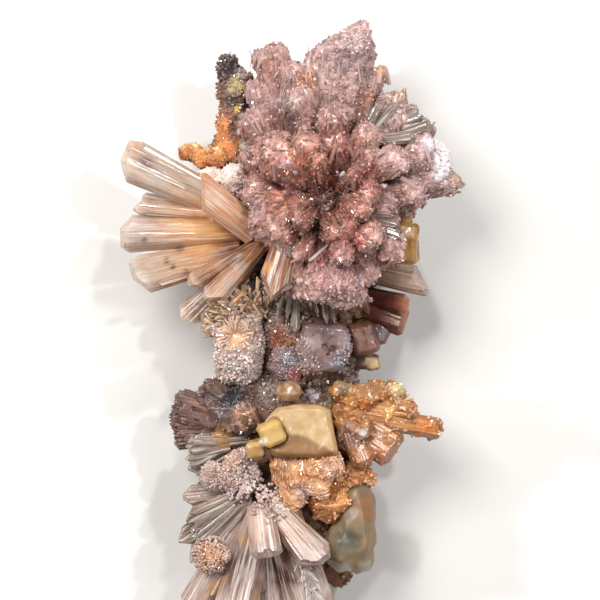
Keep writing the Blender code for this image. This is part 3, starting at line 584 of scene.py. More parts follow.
def combed_lines():
    """Fine lines along the piece's own attribute "comb", which changes quickly across the lines and
    slowly along them: noise over it. The colour is multiplied by one plus the strength times the noise
    less a half, then drawn towards a milky white where the noise is high, by the share Milk and
    Highlight: milky flaws, and in the streaked glass partly painted highlights. The noise comes out as a
    height too."""
    group, given, end = new_group("combed lines", (
        ("Colour", "Color"), ("Strength", "Float"), ("Milk and Highlight", "Float")))
    comb = add_node(group, "Attribute", attribute_name="comb").outputs["Vector"]
    lines = add_node(group, "TexNoise", {"Vector": comb, "Scale": 42.0, "Detail": 2.0, "Distortion": 0.4})
    lines = lines.outputs["Fac"]
    centred, shaded = swing_by(group, lines, given["Strength"], given["Colour"])
    high = add_node(group, "Math", {0: centred, 1: given["Milk and Highlight"]}, operation="MULTIPLY", use_clamp=True)
    return mixed_out(group, end, high.outputs[0], shaded, (*srgb(246, 236, 226), 1), lines)


GRAIN, COMBED = mineral_grain(), combed_lines()
print("the grain has", len(GRAIN.nodes), "nodes, the combed lines have", len(COMBED.nodes))

# %% One function for every finish
def mineral(name, roughness, clear=0.0, grain=0.5, strength=0.5, speck=(90, 60, 60), amount=0.0,
            relief=0.05, coat=0.0, absorb=None, density=0.0, ior=1.46, comb=0.0, milk_and_highlight=0.0, drawn_depth=0.2):
    """A finish. clear is the Transmission Weight, grain, relief and drawn_depth are in millimetres, comb
    is the strength of combed lines and milk_and_highlight the whiteness of their crests, milky flaws and
    in the streaked glass partly painted highlights, and absorb and density colour the light that passes
    through."""
    material = bpy.data.materials.new(name)
    material.use_nodes = True
    tree = material.node_tree
    shader = tree.nodes["Principled BSDF"]
    tint = add_node(tree, "Attribute", attribute_name="tint")
    group = add_node(tree, "Group", node_tree=GRAIN)
    for socket, value in (("Size", 1 / (grain * MM)), ("Strength", strength),
                          ("Speck Colour", (*srgb(*speck), 1)), ("Speck Amount", amount)):
        group.inputs[socket].default_value = value
    tree.links.new(tint.outputs["Color"], group.inputs["Colour"])
    bump = add_node(tree, "Bump", {"Distance": relief * MM, "Strength": 0.6,
                                   "Height": group.outputs["Height"]})
    last, last_bump = group, bump
    if comb:
        last = add_node(tree, "Group", node_tree=COMBED)
        last.inputs["Strength"].default_value = comb
        last.inputs["Milk and Highlight"].default_value = milk_and_highlight
        tree.links.new(group.outputs["Colour"], last.inputs["Colour"])
        last_bump = add_node(tree, "Bump", {
            "Distance": drawn_depth * MM, "Strength": 0.6, "Height": last.outputs["Height"],
            "Normal": bump.outputs["Normal"]})
    tree.links.new(last.outputs["Colour"], shader.inputs["Base Color"])
    tree.links.new(last_bump.outputs["Normal"], shader.inputs["Normal"])
    for socket, value in (("Roughness", roughness), ("IOR", ior), ("Transmission Weight", clear),
                          ("Coat Weight", coat), ("Coat Roughness", 0.12)):
        shader.inputs[socket].default_value = value
    if density:
        volume = add_node(tree, "VolumeAbsorption", {"Color": (*srgb(*absorb), 1), "Density": density})
        tree.links.new(volume.outputs[0], tree.nodes["Material Output"].inputs["Volume"])
    return material


# %% The finishes
FINISH = {name: mineral(name, rough, **how) for name, rough, how in (
    ("rosette core", 0.24, dict(grain=0.35, relief=0.2, strength=1.0, coat=0.4, amount=0.35,
        speck=(120, 84, 84), comb=1.1)),
    ("mauve needles", 0.18, dict(clear=0.25, grain=0.6, strength=0.8, coat=0.3)),
    ("mauve glass", 0.12, dict(clear=0.3, grain=0.9, strength=0.5, relief=0.02, coat=0.3)),
    ("druse", 0.16, dict(clear=0.2, grain=0.6, strength=0.5, coat=0.4)),
    ("clear blades", 0.14, dict(clear=0.6, grain=1.0, strength=0.3, relief=0.06, coat=0.2,
        absorb=(244, 214, 190), density=40.0, comb=0.3, milk_and_highlight=3.2, drawn_depth=0.08)),
    ("milky blades", 0.26, dict(clear=0.45, grain=1.0, strength=0.35, relief=0.06, coat=0.1,
        absorb=(238, 220, 215), density=40.0, comb=0.3, milk_and_highlight=2.8, drawn_depth=0.08)),
    # Its white line crests are partly milky flaws and partly painted highlights.
    ("streaked glass", 0.06, dict(clear=0.55, grain=0.8, strength=0.5, relief=0.04, coat=0.5,
        absorb=(244, 234, 226), density=15.0, comb=0.7, milk_and_highlight=4.5, drawn_depth=0.1)),
    ("smoky glass", 0.1, dict(clear=0.7, grain=1.0, strength=0.4, relief=0.05,
        absorb=(200, 165, 145), density=90.0, comb=0.6, milk_and_highlight=1.0, drawn_depth=0.1)),
    ("maroon glass", 0.2, dict(clear=0.3, grain=0.8, strength=0.6, relief=0.08, comb=0.8)),
    ("amber glass", 0.2, dict(clear=0.45, grain=0.8, strength=0.7, relief=0.12, coat=0.3,
        absorb=(235, 170, 90), density=90.0, comb=0.7, milk_and_highlight=0.8)),
    ("waxy fluorite", 0.36, dict(clear=0.25, grain=1.2, strength=0.35, relief=0.05, coat=0.15,
        ior=1.434)),
    ("green fluorite", 0.36, dict(clear=0.55, grain=1.4, strength=0.45, relief=0.08, ior=1.434,
        absorb=(205, 200, 160), density=110.0)),
    ("brown fluorite", 0.28, dict(clear=0.3, grain=1.0, strength=0.45, relief=0.05, coat=0.3, ior=1.434)),
    ("rough rock", 0.85, dict(grain=0.7, strength=0.9, amount=0.5, relief=0.2)),
    ("rust crust", 0.8, dict(grain=0.45, strength=0.7, amount=0.35, relief=0.15, speck=(120, 60, 30))),
    ("white powder", 0.95, dict(grain=0.5, strength=0.2, relief=0.12)),
    ("dark fibres", 0.3, dict(clear=0.1, grain=0.6, strength=0.7, relief=0.05)),
)}
print("finishes:", ", ".join(FINISH))

# %% [markdown]
# ## The blades, as lists
# The large crystals are placed one by one, from root to tip, as they stand on the real specimen. A row
# gives the root, the tip, the width, the thickness, and the form of the end. `stack` turns the rows
# into arrays for the growers above.

# %% Rows of blades
def blade(root, tip, width, thick, point=0.0, flat=0.25, drops=(2.0, 2.0), roll=0.0, taper=0.6):
    """One row: drops are how far the end falls to the two side edges."""
    return {"root": root, "tip": tip, "width": width, "thick": thick, "point": point, "flat": flat,
            "low": drops[0], "high": drops[1], "roll": roll, "taper": taper}


def stack(rows):
    """A dictionary of arrays from a list of rows."""
    return {key: np.array([row[key] for row in rows], float) for key in rows[0]}


def beside(rows, count, seed, slim=(0.14, 0.34), back=(0.0, 0.22), proud=(0.2, 0.42)):
    """Thinner parallel blades laid into each blade, set off across and through it, each ending a share
    back below the blade's tip. They make the ridged faces and the stepped ends."""
    pick = np.random.default_rng(seed)
    many = {key: np.repeat(value, count, axis=0) for key, value in stack(rows).items()}
    total = len(many["width"])
    along, across, through, length = directions(many["root"], many["tip"], many["roll"])
    a = pick.uniform(-0.72, 0.72, total)[:, None]
    b = pick.uniform(*proud, total)[:, None] * pick.choice([-1, 1, 1], total)[:, None]
    width, thick = many["width"][:, None], many["thick"][:, None]
    taper = many["taper"][:, None]
    shift_root = (across * a * width / 2 + through * b * thick / 2) * taper
    shift_tip = across * a * width / 2 + through * b * thick / 2
    fall = pick.uniform(*back, total)[:, None]
    edge = end_height(a, b, length[:, None], thick / 2, many["point"][:, None], many["flat"][:, None],
                      many["low"][:, None], many["high"][:, None])
    many["root"] = many["root"] + shift_root
    many["tip"] = many["root"] - shift_root + shift_tip + along * edge * (1 - fall)
    many["width"] = many["width"] * pick.uniform(*slim, total)
    many["thick"] = many["thick"] * pick.uniform(0.5, 0.66, total)
    many["low"] = many["width"] * pick.uniform(0.2, 0.7, total)
    many["high"] = many["width"] * pick.uniform(0.2, 0.7, total)
    many["point"] = pick.uniform(-0.6, 0.6, total)
    many["roll"] = many["roll"] + pick.uniform(-12, 12, total)
    return many


FINE = {"outline": ridged_outline(26), "caps": (0.5, 0.03)}
SLIM = {"outline": ridged_outline(8), "stations": (0.0, 0.5, 1.0), "caps": (0.03,)}


def lengthwise(corners, many):
    """The comb of blades: millimetres across and through each blade, over 15, moved on by 7 from blade
    to blade so that no two are alike, and a twentieth of that along it."""
    count = len(many["width"])
    along, across, through, length = directions(many["root"], many["tip"], many["roll"])
    away = corners.reshape(count, -1, 3) - many["root"][:, None]
    parts = [np.einsum("nij,nj->ni", away, way) / 15 for way in (across, through, along)]
    parts[1] = parts[1] + 7.0 * np.arange(count)[:, None]
    return np.stack([parts[0], parts[1], parts[2] / 20], axis=-1).reshape(-1, 3)


def add_blades(growth, rows, paint, seed, companions=4, ridges=0.16, steps=0.9, stations=6, **beside_how):
    """Hero blades with their companions, painted by a function of the corners and share of length. The
    more stations a blade has, the finer are its stains."""
    main = stack(rows)
    heroes = grow_blades(**main, **FINE, stations=tuple(np.linspace(0, 1, stations)), ridges=ridges,
                         steps=steps, seed=seed)
    growth.add(heroes[0], outward(*heroes[:2]), paint(heroes[0], heroes[2]), lengthwise(heroes[0], main))
    if companions:
        slim = beside(rows, companions, seed + 1, **beside_how)
        slims = grow_blades(**slim, **SLIM, ridges=0.2, steps=0.3, seed=seed + 2)
        growth.add(slims[0], outward(*slims[:2]), paint(slims[0], slims[2]), lengthwise(slims[0], slim))


def blade_piece(name, node, slot, finish, rows, paint, seed, **how):
    """A piece of hero blades and their companions."""
    growth = Growth()
    add_blades(growth, rows, paint, seed, **how)
    return make_piece(name, growth, FINISH[finish], [node])


print("rows are ready")

# %% [markdown]
# ## The mauve rosette
# Dozens of blades lean out from one dark hollow. Each is a bundle of fibres, dark red at the root and
# mauve towards the tip, where a lilac druse has grown over it. The tall peak and the horn at the right
# are so thick with druse that no fibre shows. The skin of the solid carries all of it: ridges that run
# from the hollow, fine lines in the shading, and then fibres, shards and grains over that.

# %% Where the hollow is, and the stains
HOLLOW = np.array([5.4, 19.4, 18.0])
DEEP_CENTRE = np.array([5.4, 19.4, 9.0])
POWDER = ((25.2, 31.2, 1.8), (26.8, 30.4, 2.0), (28.2, 29.0, 2.3), (28.6, 27.2, 2.6), (28.0, 25.4, 2.4))


def powder_share(points):
    """0 to 1: the white powder on the horn."""
    return np.max([stain(points, (x, y), radius, 90) for x, y, radius in POWDER], axis=0)


# Stains on the rosette as x, y, radius, red, green and blue. The dark rows in the hollow, between x -2 and
# 10 and y 14 and 23, are partly dark maroon crystal and partly painted shade. The dark row at -1.0, 36.0 is
# a painted shadow under the pale patch at -2.0, 39.2.
ROSETTE_STAINS_AND_SHADE = (
    (-6.0, 32.0, 9.0, 164, 118, 106), (-6.0, 46.0, 5.6, 166, 114, 98), (1.2, 43.6, 3.0, 186, 124, 88),
    (0.4, 28.0, 4.4, 226, 154, 124), (-3.4, 20.0, 4.0, 160, 98, 78), (-6.6, 25.6, 4.0, 156, 98, 82),
    (-2.0, 39.2, 2.8, 212, 188, 176), (-1.0, 36.0, 2.2, 88, 66, 68), (16.2, 46.6, 2.2, 204, 146, 108),
    (19.6, 42.0, 2.4, 212, 166, 122), (13.6, 40.2, 2.4, 186, 132, 104), (17.0, 35.6, 4.6, 166, 146, 136),
    (10.0, 31.0, 3.6, 152, 92, 82), (7.0, 34.0, 5.0, 150, 98, 88), (6.0, 5.0, 8.0, 176, 132, 128),
    (4.0, 8.5, 3.2, 146, 84, 80), (11.0, 12.0, 3.4, 168, 98, 92), (12.0, 23.6, 2.6, 172, 100, 92),
    (18.0, 19.6, 4.4, 134, 98, 98), (11.0, 47.5, 6.0, 168, 140, 138), (9.4, 48.6, 3.0, 122, 98, 104),
    (6.5, -0.5, 4.5, 184, 150, 146), (-9.4, 18.6, 2.6, 146, 124, 124), (-8.0, 13.6, 3.0, 156, 120, 106),
    (19.0, 27.6, 5.4, 206, 170, 164), (24.0, 26.4, 5.0, 214, 180, 174), (30.2, 24.8, 3.0, 204, 168, 150),
    (31.6, 26.4, 1.4, 220, 190, 130), (-1.6, 21.4, 1.5, 72, 40, 34), (1.4, 22.4, 1.2, 70, 38, 34),
    (7.2, 20.6, 2.2, 70, 36, 32), (10.0, 22.6, 1.4, 96, 52, 46), (3.6, 14.6, 2.6, 62, 34, 30),
    (-0.6, 14.2, 1.8, 86, 50, 40), (8.2, 14.4, 1.6, 88, 44, 40), (0.4, 17.8, 1.5, 108, 62, 46))


def rosette_tint(points, share=None):
    """Dark red-brown in the hollow, partly its deeper colour and partly painted shade, then red-brown,
    mauve-brown and mauve-pink by the distance from it, with the stains that the druse and the weather
    left, darker spots of painted shade in the hollow and a painted shadow under one pale patch."""
    away = (points - HOLLOW) * np.array([1.0, 1.0, 0.6])
    far = np.linalg.norm(away, axis=1) + 2.2 * soft_noise(points, 3.0, 5)
    tint = ramp(far, (3.0, 7.0, 12.0, 17.0, 24.0), (
        (104, 60, 50), (150, 90, 74), (172, 116, 102), (180, 140, 130), (188, 158, 152)))
    cloud = np.clip(0.2 + layered_noise(points, 4.0, 3, 6), 0, 0.6)[:, None]
    tint = blend(tint, tint * np.array([1.0, 0.86, 0.92]) * 0.85, cloud)
    seeds = [int(7 * row[2]) for row in ROSETTE_STAINS_AND_SHADE]
    tint = patched(points, tint, ROSETTE_STAINS_AND_SHADE, seeds, 0.8)
    outer = np.clip((far - 8.0) / 8.0, 0, 1)
    lilac = (0.45 * outer * np.clip(layered_noise(points, 1.0, 2, 131) * 2.2, 0, 1))[:, None]
    tan = (0.5 * outer * np.clip(layered_noise(points, 0.8, 2, 132) * 2.2 - 0.3, 0, 1))[:, None]
    tint = blend(blend(tint, srgb(134, 108, 118), lilac), srgb(214, 178, 150), tan)
    return blend(tint, srgb(216, 208, 211), powder_share(points))


print("the rosette is", np.round(rosette_tint(HOLLOW[None]), 2), "in its hollow")

# %% Directions and noise that run away from the hollow
def combed(points):
    """The direction from a deep centre under the hollow. Above it on the sheet the fan is narrower, so
    the centre moves half of the way along with the point, across."""
    centre = np.tile(DEEP_CENTRE, (len(points), 1))
    above = np.clip((points[:, 1] - 20.0) / 8.0, 0, 1)
    centre[:, 0] += above * 0.5 * (points[:, 0] - DEEP_CENTRE[0])
    way = points - centre
    return way / np.linalg.norm(way, axis=1, keepdims=True)


def combed_noise(points, across, along, seed):
    """-1 to 1: noise whose cells are stretched away from the hollow. They are as wide as across at 15 mm
    from the deep centre, and as long as along."""
    way = combed(points)
    far = np.linalg.norm(points - DEEP_CENTRE, axis=1) / along
    return soft_noise(way * 15 / across + far[:, None] * np.array([0.33, 0.21, 1.0]), 1.0, seed)

print("beside the hollow the fibres run", np.round(combed(HOLLOW[None] + 3.0)[0], 2))

# %% The core of the rosette
def drusy_share(points):
    """0 to 1: the peak, the horn and the lobe at the bottom, where druse hides the fibres."""
    return np.max([stain(points, (11.0, 46), 10.5, 61), stain(points, (9.5, 54), 8.0, 66),
                   stain(points, (25, 27), 10.0, 62), stain(points, (31, 26), 6.0, 67),
                   stain(points, (6.5, 1.0), 8.0, 63)], axis=0)


def rosette_core():
    """The skin of the rosette's solid. Away from the druse it is drawn into ridges that run from the
    hollow, with painted light on their crests and painted shade in the grooves. On the druse it has a
    field of small bumps: pale, with painted shade in the pits between them. Walls that face sideways or
    down carry painted shade as well."""
    corners, normals, quads = skin_over("purple_rosette", 0.4, 3)
    drusy, powder = drusy_share(corners)[:, 0], powder_share(corners)[:, 0]
    bumps = bubble_noise(corners, 1.0, 3)
    wide, narrow = combed_noise(corners, 2.2, 14.0, 21), combed_noise(corners, 0.9, 6.0, 22)
    push = (1 - drusy) * (0.34 * wide + 0.3 * narrow) * (1 - powder)
    push += (0.36 + 0.2 * drusy) * bumps * (1 - powder) + 0.5 * powder - 0.05
    # Painted shade in the pits between the bumps.
    painted_pit_shade = np.clip((0.46 - bumps) / 0.22, 0, 1)[:, None]
    painted_pit_shade = painted_pit_shade * (1 - powder)[:, None] * (0.5 + 0.4 * drusy)[:, None]
    line = (0.5 + 0.5 * np.clip(1.5 * narrow + wide, -1, 1))[:, None] * (1 - drusy)[:, None]
    # Painted shade: walls that face sideways or down are darker, as if lit from above.
    facing_up = np.clip(0.7 + 0.3 * normals[:, 2:], 0.4, 1.0)
    tint = rosette_tint(corners) * facing_up
    tint = blend(tint, tint * np.array([0.6, 0.52, 0.56]), painted_pit_shade)
    # Painted light and shade: the tint is lighter on the raised ridges and darker in the grooves.
    tint = tint * (1 + 0.26 * (line - 0.5) * (1 - powder)[:, None])
    return corners + normals * push[:, None], quads, tint


core_corners, core_quads, core_tint = rosette_core()
core = Growth()
core.add(core_corners, [core_quads], core_tint, combed(core_corners))
make_piece("rosette_core", core, FINISH["rosette core"], ["purple_rosette"], smooth=True)

# %% [markdown]
# ## The rosette's fibres and shards
# Loose fibres that all run away from the hollow are what gives a rosette its drawn, combed look. Each
# lies in the skin and follows the direction from one deep centre, laid flat. Among them stand stouter
# glassy prisms, and their facets are what glitters.

# %% Loose fibres
def diamond_free():
    """1 for each corner of the core, and nearly 0 where the diamond-shaped blade lies on it."""
    away = np.abs(core_corners[:, :2] - np.array([-4.4, 6.0])) / np.array([3.6, 7.0])
    return np.clip(away.sum(axis=1) * 2 - 1, 0.03, 1)


def rosette_fibres(count, seed):
    """Fibres picked by area, hardly any on the druse or the underside. The combed direction is laid flat
    on the skin, by taking away its share along the skin's own direction, and lifted a little."""
    pick = np.random.default_rng(seed)
    bare = np.clip(drusy_share(core_corners)[:, 0] + 2 * powder_share(core_corners)[:, 0], 0, 1)
    weight = (1 - 0.95 * bare) * np.clip((core_corners[:, 2] - 8) / 8, 0.05, 1) * diamond_free()
    places, facing = scatter_on(core_corners, core_quads, count, seed, weight)
    way = combed(places)
    way = way - facing * np.einsum("ij,ij->i", way, facing)[:, None]
    way = way / (np.linalg.norm(way, axis=1, keepdims=True) + 0.05) + 0.03 * facing
    way = way + pick.normal(0, 0.05, places.shape)
    reach = pick.uniform(1.6, 4.4, (count, 1))
    fibres = Growth()
    places = places - 0.06 * facing
    add_needles(fibres, places - way * reach * 0.5, places + way * reach * 0.5,
                pick.uniform(0.2, 0.46, count), rosette_tint, seed + 1, 0.3, 0.9)
    return fibres


make_piece("rosette_fibres", rosette_fibres(2400, 500), FINISH["mauve needles"],
           ["purple_rosette"])


# %% Shards: the stouter glassy prisms
def rosette_shards(count, seed):
    """Six-sided prisms, most of each sunk in the skin, nearly flat on it. Only the ends stand out."""
    pick = np.random.default_rng(seed)
    weight = (1 - powder_share(core_corners)[:, 0]) * np.clip((core_corners[:, 2] - 10) / 8, 0.05, 1)
    weight = weight * (1 - 0.8 * drusy_share(core_corners)[:, 0]) * diamond_free()
    places, facing = scatter_on(core_corners, core_quads, count, seed, weight)
    way = combed(places)
    way = way - 0.8 * facing * np.einsum("ij,ij->i", way, facing)[:, None]
    way = way + pick.normal(0, 0.1, places.shape)
    way = way / np.linalg.norm(way, axis=1, keepdims=True)
    reach = pick.uniform(1.8, 4.6, (count, 1))
    width = pick.uniform(0.4, 1.2, count)
    corners, polygons, share = grow_blades(
        places - way * reach * 0.7 - facing * 0.1, places + way * reach * 0.3, width,
        width * pick.uniform(0.4, 0.8, count), roll=pick.uniform(-60, 60, count),
        point=pick.uniform(-0.7, 0.7, count), flat=0.1, low=width * pick.uniform(0.3, 1.0, count),
        high=width * pick.uniform(0.3, 1.0, count), taper=0.85)
    each = np.repeat(1 + 0.25 * pick.uniform(-1, 1, (count, 1)), len(corners) // count, axis=0)
    shards = Growth()
    tint = blend(rosette_tint(corners), srgb(226, 200, 194), 0.18)
    # Painted shade: each shard is darker towards its sunk foot, by up to a fifth.
    shards.add(corners, outward(corners, polygons), tint * each * (0.8 + 0.2 * share[:, None]))
    return shards


make_piece("rosette_shards", rosette_shards(1900, 520), FINISH["mauve glass"],
           ["purple_rosette"])

# %% [markdown]
# ## The rosette's druse and its clear crystals
# A fine druse of points sparkles all over, most thickly on the peak, the horn, the bottom lobe and in
# the hollow. Here and there a clear crystal stands out, and each of those is placed one by one.

# %% Druse
def rosette_druse(count):
    """Fine grains on the skin, thick on its drusy parts and in the hollow, and thin elsewhere."""
    pick = np.random.default_rng(77)
    weight = (drusy_share(core_corners)[:, 0] + 0.5) * (1 - powder_share(core_corners)[:, 0])
    weight = weight + 0.6 * stain(core_corners, HOLLOW, 10.0, 68)[:, 0]
    weight = weight * (core_corners[:, 2] > 9) * diamond_free()
    places, facing = scatter_on(core_corners, core_quads, count, 78, weight)
    size = pick.uniform(0.18, 0.46, count) * pick.choice([1.0, 1.0, 1.5], count)
    druse = Growth()
    corners, polygons = grow_grains(places, facing, size, 79)
    pale = blend(rosette_tint(places), srgb(222, 196, 190), pick.uniform(-0.2, 0.5, (count, 1)))
    druse.add(corners, polygons, grain_tint(pale, 80, 0.35))
    return druse


make_piece("rosette_druse", rosette_druse(6600), FINISH["druse"], ["purple_rosette"])

# %% Clear crystals of the rosette
ROSETTE_CLEAR = [
    blade((16.6, 32.4, 26), (25.8, 35.2, 28.4), 3.6, 2.4, flat=0.3, drops=(1.2, 1.2), taper=0.8),
    blade((16, 33.4, 26), (23.4, 38.0, 28), 3.0, 2.0, flat=0.2, drops=(1.4, 1.0), taper=0.8),
    blade((15, 31.6, 28), (22.6, 32.4, 30.4), 2.6, 1.8, flat=0.2, drops=(1.0, 1.0), taper=0.8),
    blade((14, 33.6, 27), (19.2, 38.8, 29), 2.4, 1.8, drops=(1.0, 1.2), taper=0.8),
    blade((12.6, 33.0, 28), (15.4, 38.4, 29.4), 2.0, 1.6, drops=(1.0, 1.0), taper=0.8),
    blade((18, 34.0, 26), (24.4, 36.4, 29.6), 1.6, 1.3, drops=(0.8, 0.6), taper=0.8),
    blade((4.4, 49.0, 21), (5.4, 52.0, 22.6), 1.7, 1.4, flat=0.3, drops=(0.5, 0.5)),
    blade((11.0, 17.4, 28), (18.6, 16.6, 31), 1.8, 1.4, flat=0.1, drops=(1.0, 1.0)),
    blade((10.6, 16.0, 28), (20.2, 12.4, 31), 3.4, 1.8, point=0.2, flat=0.1, drops=(2.0, 1.6), taper=0.8),
    blade((10.8, 17.0, 28), (19.6, 14.6, 31), 2.4, 1.6, flat=0.1, drops=(1.4, 1.2), taper=0.8),
    blade((10.4, 15.0, 28), (17.4, 9.8, 30.6), 2.4, 1.6, flat=0.1, drops=(1.4, 1.4), taper=0.8),
    blade((-3.8, 13.8, 28), (-1.8, 8.2, 30.8), 1.8, 1.3, flat=0.2, drops=(0.8, 0.8), taper=0.9),
    blade((-4.8, 13.4, 28), (-4.0, 9.2, 30.2), 1.2, 1.0, drops=(0.6, 0.6), taper=0.9),
    blade((5.4, 10.8, 30), (1.8, 7.6, 32.2), 0.7, 0.6, drops=(0.5, 0.5), taper=0.9),
    blade((1.6, 33.8, 27), (-0.6, 31.0, 29.0), 0.9, 0.8, drops=(0.5, 0.5)),
    blade((-9.0, 26.4, 25), (-10.6, 29.8, 27.4), 1.3, 1.0, drops=(0.6, 0.6)),
]
GLINTS = [
    blade((-2.6, 25.0, 27), (-2.2, 27.6, 30.8), 1.7, 1.2, flat=0.2, drops=(0.7, 0.4), taper=0.7),
    blade((-3.4, 25.2, 27), (-4.0, 26.6, 30.4), 1.2, 0.9, drops=(0.5, 0.5), taper=0.7),
    blade((-1.4, 24.4, 27), (-0.8, 25.4, 30.4), 1.1, 0.8, drops=(0.5, 0.5), taper=0.7),
    blade((8.2, 23.4, 28), (8.6, 25.0, 32.2), 1.5, 1.2, flat=0.2, drops=(0.7, 0.4), taper=0.7),
    blade((9.0, 23.2, 28), (9.8, 24.2, 31.8), 1.0, 0.8, drops=(0.5, 0.5), taper=0.7),
    blade((11.4, 4.0, 27), (12.4, 2.8, 29.0), 1.5, 1.3, flat=0.2, drops=(0.7, 0.4), taper=0.8),
    blade((8.6, 4.6, 28), (8.8, 3.4, 30.4), 1.2, 1.0, flat=0.2, drops=(0.6, 0.4), taper=0.8),
    blade((15.4, 22.2, 28), (17.0, 22.6, 31.0), 1.2, 1.0, flat=0.2, drops=(0.6, 0.4), taper=0.8),
    blade((3.0, 2.0, 28), (3.3, 0.8, 30.0), 1.0, 0.8, drops=(0.5, 0.5), taper=0.8),
    blade((-4.1, 38.4, 25), (-4.3, 40.0, 27.2), 1.3, 1.0, drops=(0.6, 0.6), taper=0.8),
]


def clear_tint(points, share):
    """Grey-white at the upper right, mauve-grey below, with brown clouds."""
    tint = stain(points, (19.0, 36.0), 8.0, 64)
    tint = blend(srgb(148, 126, 120), srgb(168, 154, 146), tint)
    fleck = np.clip(layered_noise(points, 0.9, 2, 65) * 1.6, 0, 0.8)[:, None]
    return blend(tint, srgb(150, 116, 102), fleck)


# Pale lilac with mauve-brown clouds: the crystals' own lilac, made paler as a painted highlight where their
# facets glint.
glint_tint = paint_of((214, 196, 202), ((160, 122, 126, 0.9, 0.8, 69),))

blade_piece("rosette_clear", "purple_rosette", "clear_creedite", "streaked glass", ROSETTE_CLEAR,
            clear_tint, 190, companions=5, ridges=0.14, steps=0.5, stations=3)
blade_piece("rosette_glints", "purple_rosette", "mauve_creedite", "mauve glass", GLINTS,
            glint_tint, 195, companions=2, ridges=0.14, steps=0.5, stations=2)


# %% The white powder on the horn
def powder_cap(count, seed):
    """Soft grains heaped along a bent line over the horn's outer edge, so close that they are one mass."""
    pick = np.random.default_rng(seed)
    line = np.array([[24.4, 31.6, 26.4], [26.2, 31.2, 26.6], [27.8, 30.2, 26.6], [28.9, 28.6, 26.6],
                     [29.1, 26.8, 26.8], [28.4, 25.2, 26.9], [27.3, 24.0, 26.8]])
    size = np.array([0.4, 0.7, 0.9, 1.0, 1.1, 0.9, 0.5])
    along = pick.uniform(0, len(line) - 1, count)
    spots = np.stack([np.interp(along, np.arange(len(line)), line[:, k]) for k in range(3)], axis=1)
    away = pick.normal(0, 1, (count, 3))
    away = away / np.linalg.norm(away, axis=1, keepdims=True)
    spots = spots + away * np.interp(along, np.arange(len(line)), size)[:, None] * np.array([1.0, 1.0, 0.8])
    corners, polygons = grow_grains(spots, away, pick.uniform(0.6, 1.0, count), seed + 1, slender=0.6)
    cap = Growth()
    cap.add(corners, polygons, grain_tint(np.tile(srgb(198, 190, 193), (count, 1)), seed + 2, 0.03))
    return cap


make_piece("rosette_powder", powder_cap(800, 96), FINISH["white powder"],
           ["purple_rosette"])

# %% [markdown]
# ## The spray at the left
# The largest single crystals: flat blades side by side, orange-brown where they leave the rosette and
# clear to cream at their tips. They are see-through, so their inside matters. Parallel thinner blades
# are laid into each one, and light that crosses their edges gives the streaks of the real thing.

# %% The left spray
LEFT_BLADES = [
    blade((-12, 17.5, 17), (-35.6, 28.8, 21), 8.8, 4.0, point=0.2, flat=0.4, drops=(3.0, 2.2)),
    blade((-20, 22, 15), (-34.6, 31.4, 18), 3.2, 2.4, point=0.3, drops=(1.5, 1.5)),
    blade((-18, 18.6, 16), (-31.8, 20.4, 17), 2.6, 2.2, flat=0.4, drops=(0.8, 0.8)),
    blade((-14, 16.8, 18), (-33.4, 18.4, 20), 2.8, 2.4, point=-0.2, flat=0.1, drops=(1.2, 1.4)),
    blade((-12, 13.6, 18), (-36.0, 13.2, 20), 7.6, 4.4, point=-0.2, flat=0.5, drops=(1.8, 2.6)),
    blade((-12, 9.8, 18), (-33.6, 4.6, 21), 8.0, 4.2, point=0.3, flat=0.4, drops=(2.8, 2.6)),
    blade((-8, 11.8, 19), (-22.4, 3.0, 22), 3.6, 2.8, flat=0.2, drops=(2.0, 1.5)),
    blade((-7, 11.6, 20), (-18.6, -0.4, 22), 4.8, 3.0, point=0.3, flat=0.1, drops=(3.5, 1.8)),
    blade((-9, 10, 17), (-23.6, -4.2, 15), 5.4, 3.4, flat=0.3, drops=(2.2, 1.5)),
    blade((-9, 9, 17), (-19.2, -5.2, 16), 4.6, 3.2, flat=0.3, drops=(1.8, 1.5)),
]
FRONT_PETAL = [
    blade((-9, 13.5, 20), (-21.2, 23.2, 27), 6.4, 2.8, point=0.8, flat=0.05, drops=(5.2, 0.8), taper=0.9)
]


LEFT_STAINS = (
    (-17.4, 11.4, 2.6, 196, 116, 60), (-13.2, 9.4, 3.2, 138, 80, 50), (-16.4, 15.4, 2.4, 190, 104, 52),
    (-19.6, 14.6, 6.0, 255, 196, 128), (-21.0, 22.6, 3.0, 226, 206, 186),
    (-28.0, 24.4, 4.4, 206, 190, 178), (-31.0, 27.4, 1.9, 140, 108, 118),
    (-33.6, 31.0, 2.4, 222, 144, 96), (-30.0, 19.0, 1.8, 186, 132, 112),
    (-33.0, 19.0, 1.6, 226, 166, 112), (-33.0, 14.6, 4.0, 206, 186, 180), (-31.0, 12.2, 1.0, 120, 96, 90),
    (-24.2, 10.2, 0.95, 92, 74, 84), (-26.6, 7.8, 0.9, 110, 74, 60), (-25.4, 6.6, 0.8, 110, 70, 56),
    (-22.6, 5.6, 0.9, 120, 76, 60), (-31.6, 5.0, 1.9, 230, 220, 208), (-33.2, 2.8, 1.6, 214, 160, 110),
    (-26.0, 2.0, 2.6, 196, 146, 126), (-18.8, 4.4, 3.0, 160, 98, 62), (-14.4, 3.0, 2.0, 196, 164, 146),
    (-11.6, 6.4, 1.6, 206, 184, 172), (-13.0, 1.2, 1.5, 244, 236, 228), (-20.0, -3.0, 5.0, 160, 126, 106))


